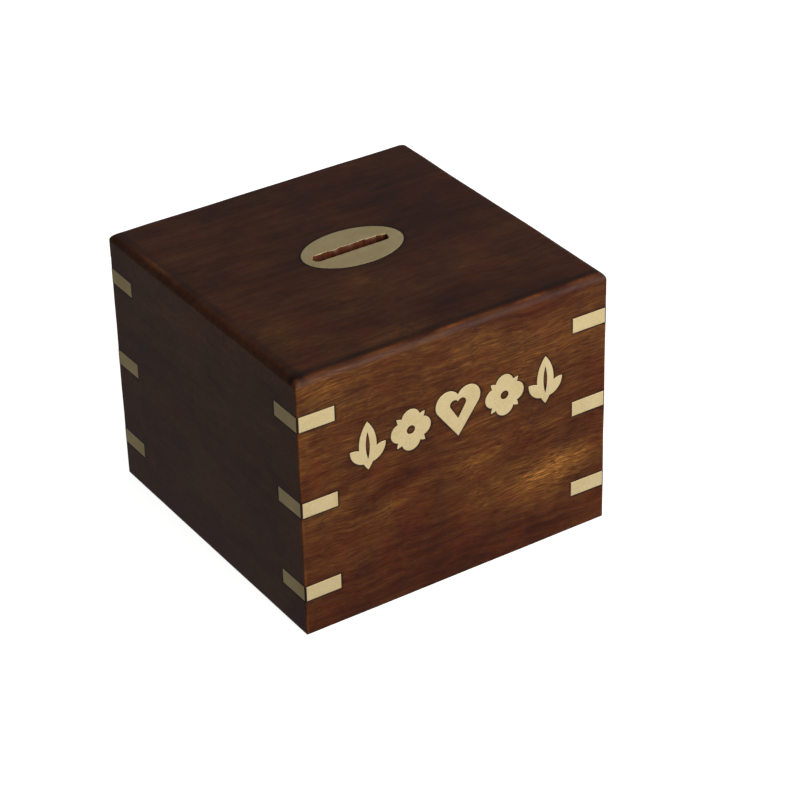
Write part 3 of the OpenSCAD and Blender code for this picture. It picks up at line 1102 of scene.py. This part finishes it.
@dataclass
class Walls:
    """The four mitred walls with their brass let in.

    Each wall is its cross-section, in depth d and height z, carried along the run and cut off by the
    mitres: x = s (half - max(d, 0.293 r)) and depth = max(d, round_drop(half - |x|, r)), with r the
    radius of the upright corner.
    """

    finishes: Finishes
    sanding: Sanding
    half: float = HALF
    thickness: float = 9.0
    corner: float = 0.7
    foot: float = 1.0
    groove_low: float = 2.0
    groove_high: float = 6.6
    groove_depth: float = 4.0
    pitch: float = 2.2
    fine_z: float = 0.8
    fine_x: float = 0.9
    band_half: float = 46.5
    skin: float = 0.75
    figure: Figure = Figure()

    def rows(self, face: Face) -> np.ndarray:
        """Heights of the outer face's rows: close together at the foot and round the brass."""
        low, high = node_box(face.wall)
        bottom, top = low[2], high[2]
        values = [bottom, top, *np.arange(bottom + 2, top - 1, self.pitch)]
        values += list(bottom + self.foot * (1 - np.cos(np.linspace(0, 1.5, 6))))
        for strip in STRIPS[: len(LEVELS)]:
            _, middle, half_h, _ = strip.sizes()
            away = half_h + GLUE_GAP + np.array(BESIDE_BRASS)
            values += [*(middle - away), *(middle + away)]
        if face is Face.FRONT:
            _, middle, height, _ = ORNAMENTS[2].sizes()
            reach = height / 2 + 1.5
            values += list(np.arange(middle - reach, middle + reach, self.fine_z))
        return merged(values, 0.045)

    def columns(self, face: Face) -> np.ndarray:
        """Places from -1 to 1 along the run: close together at the corners and round the brass."""
        ends = [0, 0.1, 0.22, 0.36, 0.55, 0.8, 1.2, 1.8, 2.6]
        ends += [STRIPS[0].sizes()[0] + GLUE_GAP + step for step in BESIDE_BRASS]
        values = [side * (self.half - end) for end in ends for side in (-1, 1)]
        values += list(np.arange(-self.half + 3.4, self.half - 3, self.pitch))
        if face is Face.FRONT:
            values += list(np.arange(-self.band_half, self.band_half + 0.5, self.fine_x))
        return merged(values, 0.09) / self.half

    def section(self, face: Face) -> tuple[np.ndarray, np.ndarray]:
        """Depth and height round the cross-section, from the foot up the outer face and back."""
        z = self.rows(face)
        bottom, top = z[0], z[-1]
        thick, deep = self.thickness, self.thickness - self.groove_depth
        outer = np.stack([round_drop(z - bottom, self.foot), z], -1)
        inner = [(thick * share, top) for share in (0.33, 0.67, 1.0)]
        inner += [(thick, top - (top - bottom) * share) for share in (0.2, 0.4, 0.6, 0.8)]
        if face is not Face.BACK:
            inner += [(thick, self.groove_high), (deep, self.groove_high)]
            inner += [(deep, self.groove_low), (thick, self.groove_low)]
        inner += [(thick, bottom), (thick / 2, bottom)]
        d, z = np.concatenate([outer, inner]).T
        return d, z

    def body(self, face: Face) -> bpy.types.Object:
        """The wall before anything is let in."""
        d, z = self.section(face)
        s = self.columns(face)[:, None]
        corner = self.corner * (1 + 0.25 * Waves(31 + face.value, 25).at(np.stack([0 * z, 0 * z, z], -1)))
        x = s * (self.half - np.maximum(d, 0.293 * corner))
        depth = np.maximum(d, round_drop(self.half - np.abs(x), corner))
        points = np.stack([x, depth - self.half, np.broadcast_to(z, x.shape)], -1)
        return bar_solid(f"wall_{face.name.lower()}", face.turn(points))

    def mark(self, piece: bpy.types.Object, face: Face) -> None:
        """Stores the figure, the staining beside the brass, the rubbed corners and chipped foot, and the
        rawness of the wood at each point.
        """
        points = points_of(piece)
        on_front = points @ np.linalg.inv(face.turn(np.eye(3)))
        front = face is Face.FRONT
        inlays = [strip for strip in STRIPS if strip.face is face] + (list(ORNAMENTS) if front else [])
        gap = np.min([inlay.gap(on_front) for inlay in inlays], axis=0)
        depth = self.half + on_front[:, 1]
        outer = depth < self.skin
        to_corner = self.half - np.abs(on_front[:, 0])
        foot = on_front[:, 2] - node_box(face.wall)[0][2]
        stain = halo(gap) * (0.75 + 0.35 * Waves(41, 5).at(points)) * outer
        edge = bell(to_corner, 0.7) * (0.5 + 0.5 * Waves(42, 18).at(points))
        chips = bell(foot, 0.7) * np.clip(2.5 * Waves(43, 7).at(points) - 0.6, 0, 1)
        set_marks(
            piece,
            figure=self.figure.at(points) if front else self.figure.calm(points),
            grain=1.0 if front else SIDE_GRAIN,
            stain=np.clip(stain, 0, 0.95),
            wear=np.clip((edge + chips) * (gap > 0.3) * outer, 0, 1),
            raw=rawness(depth),
        )

    def build(self) -> None:
        """Makes the walls, their brass and the glue round it."""
        for face in Face:
            inlays = [strip for strip in STRIPS if strip.face is face]
            inlays += ORNAMENTS if face is Face.FRONT else ()
            wall = self.body(face)
            cut_away(wall, [inlay.cutter() for inlay in inlays])
            self.mark(wall, face)
            self.sanding.sand(wall)
            dress(wall, "box", Slot.WOOD, self.finishes.wood_for(face), face.wall)
            glue = joined([inlay.filler() for inlay in inlays])
            glue.name = f"glue_line_{face.name.lower()}"
            self.sanding.sand(glue)
            dress(glue, "box", Slot.WOOD, self.finishes.filler)
            for inlay in inlays:
                brass = inlay.brass(f"brass_{inlay.node}")
                self.sanding.sand(brass)
                dress(brass, "box", Slot.INLAY, self.finishes.inlay, inlay.node)


# ---------------------------------------------------------------- top board and slot plate


@dataclass
class Top:
    """The top board, sanded round, with the oval plate and the slot sawn through both.

    Both are closed rings that run from the outside in and back underneath.
    """

    finishes: Finishes
    sanding: Sanding
    half: float = HALF
    edge_radius: float = 2.6
    corner_radius: float = 0.55
    per_side: int = 90
    plate_per_side: int = 60
    slot_half: tuple[float, float] = (15.5, 2.35)
    slot_end: float = 2.34
    slot_spine: float = 13.1
    slot_inset: float = 0.15
    lip_gap: float = 0.04
    lip_sink: float = 0.2
    plate_ragged: float = 0.5
    wood_ragged: float = 0.8
    slot_shift: float = -0.8
    # The top's upper face takes the evened figure lowered by this much, so it is darker than the walls.
    darker: float = 0.42
    figure: Figure = Figure()

    def plate(self) -> tuple[np.ndarray, np.ndarray]:
        """Middle and half sizes of the oval plate."""
        low, high = node_box("slot_plate")
        return (low + high) / 2, (high - low) / 2

    def oval(self, walk: np.ndarray, grow: float, z: float) -> np.ndarray:
        """The plate's outline, grown all round, at a height."""
        middle, half = self.plate()
        return lift(ellipse_loop(walk, (half[0] + grow, half[1] + grow)) + middle[:2], z)

    def slot_loop(self, walk: np.ndarray, inset: float, ragged: float, z: float) -> np.ndarray:
        """The slot's outline, shrunk and roughened by a saw and file, more so on its far side."""
        middle, _ = self.plate()
        half = (self.slot_half[0] - inset, self.slot_half[1] - inset)
        flat = rounded_loop(walk, half, self.slot_end - inset)
        points = lift(flat, z)
        upright = points * np.array([1, 1, 0.25])
        rough = Waves(61, 3.2).at(upright) * 0.65 + Waves(62, 1.3).at(upright) * 0.35
        rough *= np.where(flat[:, 1] > 0, 1.0, 0.25)
        out = flat - np.clip(flat, (-self.slot_spine, 0), (self.slot_spine, 0))
        out /= np.linalg.norm(out, axis=1, keepdims=True)
        points[:, :2] += out * (ragged * rough)[:, None]
        return points + np.array([middle[0] + self.slot_shift, middle[1], 0])

    def edge_rings(self, walk: np.ndarray) -> list[np.ndarray]:
        """Rings up the board's sides and over its rounded edge, a quarter turn of radius r."""
        low, high = node_box("top_board")
        square = (self.half, self.half)
        rings = [
            lift(rounded_loop(walk, square, self.corner_radius), z)
            for z in np.linspace(low[2], high[2] - self.edge_radius * 1.15, 4)
        ]
        radius = self.edge_radius * (1 + 0.12 * Waves(51, 40).at(lift(walk * self.half, high[2])))
        for angle in np.linspace(0, math.pi / 2, 9):
            turned_in, turned_up = 1 - math.cos(angle), 1 - math.sin(angle)
            flat = rounded_loop(walk, square, self.corner_radius + 1.2 * self.edge_radius * turned_in)
            flat = flat * (1 - radius * turned_in / self.half)[:, None]
            rings.append(lift(flat, high[2] - radius * turned_up))
        return rings

    def board(self) -> None:
        """The wooden board."""
        low, high = node_box("top_board")
        thick = 2 * self.plate()[1][2]
        walk = square_walk(self.per_side)
        rings = self.edge_rings(walk)
        last, rim = rings[-1], self.oval(walk, GLUE_GAP, high[2])
        shares = [*np.linspace(0, 0.97, 46)[1:], 0.985, 0.995, 1.0]
        rings += [last + (rim - last) * share for share in shares]
        floor = rim - np.array([0, 0, thick])
        seat = self.slot_loop(walk, self.lip_gap, self.plate_ragged, high[2] - thick)
        rings += [floor, (floor + seat) / 2, seat]
        for inset in (self.lip_gap, self.slot_inset + 0.1):
            lip = self.slot_loop(walk, inset, self.plate_ragged, high[2])
            lip[:, 2] -= self.lip_sink + 0.14 * Waves(63, 4).at(lip)
            rings.append(lip)
        for z in np.linspace(high[2] - thick * 0.8, low[2], 14):
            rings.append(self.slot_loop(walk, self.slot_inset + 0.15, self.wood_ragged, z))
        inner = rings[-1]
        rings += [inner + (rings[0] - inner) * share for share in (0.2, 0.6)]
        piece = ring_solid("top_board_wood", np.stack(rings))
        self.mark(piece)
        self.sanding.sand(piece)
        dress(piece, "box", Slot.TOP, self.finishes.front_wood, "top_board")

    def mark(self, piece: bpy.types.Object) -> None:
        """Stores the figure, the staining and painted shade, the rubbing and painted highlight, the rawness
        and the duller gloss of the wood at each point.

        A dark line of painted shade lies a little way in from the front and left edges, where the rounded
        edge turns up; the edges themselves are painted lighter, partly as rubbing and partly as a painted
        highlight, and the outermost ring takes on the figure of the wall below it.
        """
        points = points_of(piece)
        middle, half_plate = self.plate()
        low, high = node_box("top_board")
        x, y, z = points.T
        front, side = y + self.half, x + self.half
        from_plate = np.linalg.norm((points[:, :2] - middle[:2]) / half_plate[:2], axis=1)
        gap = np.maximum(from_plate - 1, 0) * half_plate[1]
        in_slot = from_plate < 0.95
        far = np.maximum(np.abs(x), np.abs(y))
        on_top, upper = z > high[2] - 0.5, z > high[2] - self.edge_radius * 0.85
        uneven = Waves(52, 16).at(points)
        # Painted shade: dark lines on the top just inside the front and left rounded edges, where the rounded
        # edge turns up and would lie in shade.
        front_edge_painted_shade = bell(front - 3.6, 1.4) * (0.72 + 0.25 * uneven) * upper
        left_edge_painted_shade = bell(side - 3.4, 1.4) * (0.5 + 0.25 * uneven) * upper
        rubbed = bell(side - 2.2, 0.9) * bell(y - 32, 8) * 0.9
        # Partly rubbing and partly painted highlight: lighter colour along the front and left rounded edges,
        # where they catch the light.
        arris = bell(front - 1.5, 0.6) * (0.35 + 0.6 * Waves(53, 12).at(points)) * upper
        arris += bell(side - 1.6, 0.7) * (0.02 + 0.2 * Waves(54, 22).at(points)) * upper
        hidden = in_slot | ((z < low[2] + 0.01) & (far < self.half - 0.1))
        above = np.clip((z - high[2] + 3.0) / 2.6, 0, 1)
        facing = front < 0.5
        calm = self.figure.calm(points)
        wall_figure = np.where(facing, self.figure.at(points), calm)
        round_edge = np.clip(far - self.half + self.edge_radius, 0, 1) * (z > high[2] - self.edge_radius)
        set_marks(
            piece,
            figure=wall_figure * (1 - above) + (calm - self.darker) * above,
            grain=np.where(facing, 1.0, SIDE_GRAIN) * (1 - above) + 0.8 * above,
            stain=np.clip(halo(gap) * on_top + front_edge_painted_shade + left_edge_painted_shade, 0, 0.9) * ~in_slot,
            wear=np.clip(rubbed + arris, 0, 1) * ~in_slot,
            raw=hidden * 0.9,
            rub=round_edge,
        )

    def plate_brass(self) -> None:
        """The oval plate, its far slot edge a little chewed by the file."""
        low, high = node_box("slot_plate")
        walk = square_walk(self.plate_per_side)
        outside = ((0, low[2]), (0, high[2] - 0.1), (0.03, high[2] - 0.03), (0.1, high[2]), (0.16, high[2]))
        inside = ((0.14, high[2]), (0.05, high[2]), (0, high[2] - 0.04), (0, low[2]))
        rings = [self.oval(walk, -cut, z) for cut, z in outside]
        edges = [self.slot_loop(walk, -cut, self.plate_ragged, z) for cut, z in inside]
        between = [rings[-1] + (edges[0] - rings[-1]) * share for share in np.linspace(0, 1, 9)[1:-1]]
        piece = ring_solid("brass_slot_plate", np.stack(rings + between + edges))
        self.sanding.sand(piece)
        dress(piece, "box", Slot.INLAY, self.finishes.inlay, "slot_plate")

    def glue(self) -> None:
        """The ring of glue round the plate."""
        low, high = node_box("slot_plate")
        walk = square_walk(self.plate_per_side)
        rings = [self.oval(walk, grow, high[2] - d) for grow, d in glue_corners(high[2] - low[2])]
        piece = ring_solid("glue_line_top", np.stack(rings))
        self.sanding.sand(piece)
        dress(piece, "box", Slot.TOP, self.finishes.filler)

    def build(self) -> None:
        """Makes the board, the plate and the glue round it."""
        self.board()
        self.plate_brass()
        self.glue()


# ---------------------------------------------------------------- sliding base


def box_grid(low: np.ndarray, high: np.ndarray, across: int, along: int) -> tuple[np.ndarray, np.ndarray]:
    """X and Y of a grid over a box, its lines crowded towards the edges."""
    x = (low[0] + high[0]) / 2 + crowded(across) * (high[0] - low[0]) / 2
    y = (low[1] + high[1]) / 2 + crowded(along) * (high[1] - low[1]) / 2
    return np.meshgrid(x, y, indexing="ij")


@dataclass
class SlidingBase:
    """The panel that slides out to the rear, the rail on its end and the block its screw bites into."""

    finishes: Finishes
    sanding: Sanding
    half: float = HALF
    arris: float = 0.4
    scoop_ball: float = 40.0
    scoop_half: float = 11.0
    scoop_edge: float = 45.5
    mitre_gap: float = 0.42
    foot: float = 1.0
    corner: float = 0.5
    housing: float = 4.0
    cup_hole: float = 3.05
    hole: float = 1.35
    hole_sides: int = 64
    figure: Figure = Figure()

    def panel(self) -> None:
        """The panel: a slab with eased edges, hollowed underneath by a ball of radius R, as deep as
        sqrt(R^2 - q^2) - sqrt(R^2 - w^2) at q from the middle of the scoop's straight edge.
        """
        low, high = node_box("base_panel")
        x, y = box_grid(low, high, 100, 120)
        edge = np.minimum(np.minimum(x - low[0], high[0] - x), np.minimum(y - low[1], high[1] - y))
        ease = round_drop(edge, self.arris)
        q = np.hypot(x, y - self.scoop_edge)
        ball = np.sqrt(self.scoop_ball**2 - np.minimum(q, self.scoop_half) ** 2)
        deep = ball - math.sqrt(self.scoop_ball**2 - self.scoop_half**2)
        step = np.clip((self.scoop_edge + 0.25 - y) / 0.5, 0, 1)
        saw = 0.03 * (1 + Waves(71, 6).at(np.stack([x * 0.1, y, 0 * x], -1).reshape(-1, 3)).reshape(x.shape))
        upper = np.stack([x, y, high[2] - ease - saw], -1)
        lower = np.stack([x, y, low[2] + ease + deep * step + saw], -1)
        panel = slab_solid("base_panel_wood", upper, lower)
        dress(panel, "base", Slot.BARE, self.finishes.bare, "base_panel")

    def rail(self) -> None:
        """The rail: its cross-section carried along X and cut off by mitres, then housed and drilled."""
        low, high = node_box("base_rear_rail")
        deep, run = high[1] - low[1], self.half - self.mitre_gap
        rounded = np.linspace(low[2], low[2] + self.foot, 5)
        z = merged([*rounded, *np.linspace(low[2] + 1.5, high[2], 8)], 0.04)
        d = np.concatenate([round_drop(z, self.foot), [deep / 2, deep, deep, deep, deep / 2]])
        z = np.concatenate([z, [high[2], high[2], (low[2] + high[2]) / 2, low[2], low[2]]])
        x = crowded(90)[:, None] * (run - np.maximum(d, 0.15))
        depth = np.maximum(d, round_drop(run - np.abs(x), self.corner))
        rail = bar_solid("base_rail_wood", np.stack([x, self.half - depth, np.broadcast_to(z, x.shape)], -1))
        cut_away(rail, [self.screw_hole(low[1] - CLEAR, high[1] + CLEAR)])
        cut_away(rail, [self.panel_housing(low[1] - CLEAR, low[1] + self.housing)])
        points = points_of(rail)
        ends = bell(self.half - np.abs(points[:, 0]), 1.2)
        brims = bell(high[2] - points[:, 2], 0.6) * 0.3
        wear = (ends + brims) * (0.5 + 0.5 * Waves(72, 12).at(points))
        set_marks(
            rail,
            figure=self.figure.calm(points),
            grain=SIDE_GRAIN,
            stain=0.0,
            wear=np.clip(wear, 0, 1),
            raw=rawness(self.half - points[:, 1]),
        )
        self.sanding.sand(rail)
        dress(rail, "base", Slot.WOOD, self.finishes.front_wood, "base_rear_rail")

    def screw_hole(self, front: float, back: float) -> bpy.types.Object:
        """Cutter for the screw's hole, wider where the cup sits."""
        low, high = node_box("screw_cup")
        seat = low[1] - 0.05
        r, y = (self.cup_hole, self.cup_hole, self.hole, self.hole), (back, seat, seat, front)
        column = (np.array(values)[:, None] for values in (r, y))
        return bar_solid("cutter", rings_on_y(*column, (low + high) / 2, self.hole_sides))

    def panel_housing(self, front: float, back: float) -> bpy.types.Object:
        """Cutter for the housing that the panel's edge is glued into."""
        low, high = node_box("base_panel")
        return box_solid("cutter", (-self.half, front, low[2]), (self.half, back, high[2]))

    def block(self) -> None:
        """Shows the CAD block in bare wood."""
        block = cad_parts["lock_block"]
        block.data.materials.clear()
        block.data.materials.append(self.finishes.bare)
        LOG.info("lock_block: kept, on box")

    def build(self) -> None:
        """Makes the panel and the rail and finishes the block."""
        self.panel()
        self.rail()
        self.block()


@dataclass
class LockingScrew:
    """The slotted brass screw and its cup washer, both turned about the same axis along Y.

    Along the shank the radius is root + (crest - root) c^2, with c the distance from the middle of
    the valley between two turns, so the thread has rounded valleys and narrow crests.
    """

    finishes: Finishes
    sides: int = 96
    crest: float = 1.3
    root: float = 0.98
    pitch: float = 1.2
    fit_gap: float = 0.05
    head_sink: float = 0.1
    head: float = 2.2
    slot_w: float = 0.6
    slot_depth: float = 0.5
    point_length: float = 1.8
    point: float = 0.35

    def cup(self) -> None:
        """The cup washer: a ring with a cone for the head and a rounded brim."""
        low, high = node_box("screw_cup")
        axis = (low + high) / 2
        radius = (high[0] - low[0]) / 2
        hole = self.crest + self.fit_gap
        cone = self.head - self.crest + self.head_sink
        profile = [
            (radius, low[1]),
            (radius, high[1] - 0.25),
            (radius - 0.08, high[1] - 0.07),
            (radius - 0.25, high[1]),
            (hole + cone + 0.12, high[1]),
            (hole + cone, high[1] - 0.06),
            (hole + cone / 2, high[1] - cone / 2),
            (hole, high[1] - cone),
            (hole, low[1]),
        ]
        r, y = (np.array(column)[:, None] for column in zip(*profile))
        cup = ring_solid("brass_screw_cup", rings_on_y(r, y, axis, self.sides))
        dress(cup, "cup", Slot.HARDWARE, self.finishes.turned, "screw_cup")

    def screw(self) -> None:
        """The screw: point, threaded shank, smooth neck, countersunk head and the slot cut in it."""
        low, high = node_box("locking_screw")
        axis, head = (low + high) / 2, (high[0] - low[0]) / 2
        neck = high[1] - (head - self.crest)
        y = np.linspace(low[1], neck - 1.6, 150)[:, None]
        phase = (y / self.pitch - circle(self.sides) / (2 * math.pi)) % 1.0
        thread = self.root + (self.crest - self.root) * (2 * phase - 1) ** 2
        share = np.clip((y - low[1]) / self.point_length, 0, 1)
        shank = np.minimum(thread, self.point + (self.crest - self.point) * share)
        fade = np.clip((y - (neck - 3.0)) / 1.2, 0, 1)
        shank = shank * (1 - fade) + self.crest * fade
        profile = [(self.crest, neck - 1.2), (self.crest, neck)]
        profile += [(head - 0.06, high[1] - 0.06), (head - 0.1, high[1])]
        profile += [(head * share, high[1]) for share in (0.7, 0.4, 0.15)]
        r, top = (np.array(column)[:, None] for column in zip(*profile))
        rings = [rings_on_y(shank, y, axis, self.sides), rings_on_y(r, top, axis, self.sides)]
        screw = bar_solid("brass_locking_screw", np.concatenate(rings))
        wide, half_w = head + 1, self.slot_w / 2
        floor, lip = high[1] - self.slot_depth, high[1] + CLEAR
        slot = box_solid("cutter", (-wide, floor, axis[2] - half_w), (wide, lip, axis[2] + half_w))
        cut_away(screw, [slot])
        dress(screw, "screw", Slot.HARDWARE, self.finishes.turned, "locking_screw")

    def build(self) -> None:
        """Makes the cup washer and the screw."""
        self.cup()
        self.screw()


# ---------------------------------------------------------------- studio

MIDDLE = Vector((0, 0, HEIGHT / 2 * MM))


@dataclass(frozen=True)
class Softbox:
    """A square soft light that faces the middle of the box."""

    name: str
    way: tuple[float, float, float]
    far: float
    size: float
    watts: float

    def hang(self) -> None:
        """Hangs the light."""
        lamp = bpy.data.lights.new(self.name, "AREA")
        lamp.shape = "SQUARE"
        lamp.size = self.size
        lamp.energy = self.watts
        light = bpy.data.objects.new(self.name, lamp)
        way = Vector(self.way).normalized()
        light.location = way * self.far + MIDDLE
        light.rotation_euler = way.to_track_quat("Z", "Y").to_euler()
        bpy.context.scene.collection.objects.link(light)


@dataclass(frozen=True)
class Studio:
    """Pale sweep, soft lights and a long lens that looks down at the front left corner."""

    azimuth: float = -32.807
    elevation: float = 31.452
    roll: float = -1.487
    distance: float = 0.98368
    aim_right: float = 0.0147385
    aim_up: float = -0.0087009
    lens_mm: float = 124.69
    floor_reach: float = 3.0
    under_box: float = 61.0
    floor_drop: float = 0.1
    ambient: float = 0.175
    lights: tuple[Softbox, ...] = (
        Softbox("key_front", (0.3, -0.85, 0.3), 0.9, 0.8, 8.9),
        Softbox("fill_right_rear", (0.95, 0.25, 0.0), 1.2, 0.6, 5.5),
    )

    def camera(self) -> None:
        """Places the camera from its azimuth, elevation, roll and aim."""
        a, e, roll = (math.radians(v) for v in (self.azimuth, self.elevation, self.roll))
        back = Vector((math.sin(a) * math.cos(e), -math.cos(a) * math.cos(e), math.sin(e)))
        right = Vector((math.cos(a), math.sin(a), 0))
        up = back.cross(right)
        place = back * self.distance + MIDDLE + right * self.aim_right + up * self.aim_up
        turned_right = right * math.cos(roll) + up * math.sin(roll)
        turned_up = up * math.cos(roll) - right * math.sin(roll)
        lens = bpy.data.cameras.new("long_lens")
        lens.lens, lens.sensor_width = self.lens_mm, 36.0
        lens.clip_start, lens.clip_end = 0.05, 20.0
        camera = bpy.data.objects.new("camera", lens)
        turn = Matrix((turned_right, turned_up, back)).transposed().to_4x4()
        camera.matrix_world = Matrix.Translation(place) @ turn
        bpy.context.scene.collection.objects.link(camera)
        bpy.context.scene.camera = camera

    def glow(self, name: str, diffuse: str, strength: float) -> bpy.types.Material:
        """Pale paper that is lit a little from behind, and shows only from its front."""
        recipe = Recipe(name)
        side = recipe.add("ShaderNodeNewGeometry").outputs["Backfacing"]
        paper = Lumps((60, 60, 60)).on(recipe, recipe.place)
        shade = recipe.spread(paper, 0.3, 0.7, (strength * 0.995, strength))
        sockets = {"Base Color": linear(diffuse), "Roughness": 0.9}
        sockets |= {"Emission Color": (1, 1, 1, 1), "Emission Strength": shade}
        recipe.finish(sockets, paper, 0.1, 0.1)
        clear = recipe.add("ShaderNodeBsdfTransparent").outputs[0]
        mix = recipe.add("ShaderNodeMixShader", {0: side, 1: recipe.shader.outputs[0], 2: clear}).outputs[0]
        recipe.tree.links.new(mix, recipe.tree.nodes["Material Output"].inputs["Surface"])
        return recipe.material

    def sweep(self) -> None:
        """The floor and the backdrop round it, which light nothing; the floor glows except for a dark patch
        under the box, which is painted shade.
        """
        reach = self.floor_reach / MM
        walk = square_walk(8)
        disc = ellipse_loop(walk, (reach, reach))
        flats = [lift(flat, -self.floor_drop) for flat in (disc, disc * 0.4, walk * self.under_box)]
        floor = new_piece("floor", np.concatenate(flats), grid_faces(3, len(walk), False, True))
        tip = [[0, 0, -self.floor_drop]]
        # Painted shade: the patch under the box hardly glows, so the floor seen through gaps under the box
        # stays dark as if in shadow.
        patch = new_piece("floor_under_box", np.concatenate([flats[-1], tip]), self.fan(1, len(walk)))
        slopes = np.linspace(-0.35, 1.5, 12)
        rings = [lift(disc * math.cos(t), reach * math.sin(t) - 1) for t in slopes]
        dome = new_piece("backdrop", np.concatenate([*rings, [[0, 0, reach]]]), self.fan(12, len(walk)))
        dome.data.flip_normals()
        for piece in (floor, patch):
            if piece.data.polygons[0].normal[2] < 0:
                piece.data.flip_normals()
        for piece, name, colour, strength in (
            (floor, "paper_white_floor", "#f4f4f2", 0.88),
            # Painted shade under the box: almost no glow.
            (patch, "paper_white_under_box", "#f4f4f2", 0.02),
            (dome, "paper_white_backdrop", "#000000", 1.0),
        ):
            piece.data.materials.append(self.glow(name, colour, strength))
            for ray in ("diffuse", "glossy", "transmission", "shadow", "volume_scatter"):
                setattr(piece, f"visible_{ray}", False)

    def fan(self, rings: int, count: int) -> list[list[int]]:
        """Faces of nested rings closed by a fan of triangles to one last point."""
        start, tip = (rings - 1) * count, rings * count
        faces = grid_faces(rings, count, False, True).tolist()
        return faces + [[start + i, start + (i + 1) % count, tip] for i in range(count)]

    def air(self) -> None:
        """Even soft light from all round."""
        world = bpy.data.worlds.new("soft_air")
        world.use_nodes = True
        world.node_tree.nodes["Background"].inputs["Color"].default_value = (1, 1, 1, 1)
        world.node_tree.nodes["Background"].inputs["Strength"].default_value = self.ambient
        bpy.context.scene.world = world
        bpy.context.scene.view_settings.view_transform = "Standard"

    def build(self) -> None:
        """Sets up the camera, the sweep and the lights."""
        self.camera()
        self.sweep()
        self.air()
        for light in self.lights:
            light.hang()
        LOG.info("studio: camera, sweep and %d lights", len(self.lights))


def main() -> None:
    """Builds the box and its studio."""
    logging.basicConfig(level=logging.INFO, format="%(name)s: %(message)s")
    finishes = Finishes()
    low, high = (np.array(corner) / MM for corner in CAD_BOX)
    sanding = Sanding(half=float(high[0]), height=float(high[2]))
    for part in (
        Walls(finishes, sanding),
        Top(finishes, sanding),
        SlidingBase(finishes, sanding),
        LockingScrew(finishes),
        Studio(),
    ):
        part.build()


if __name__ == "__main__":
    main()
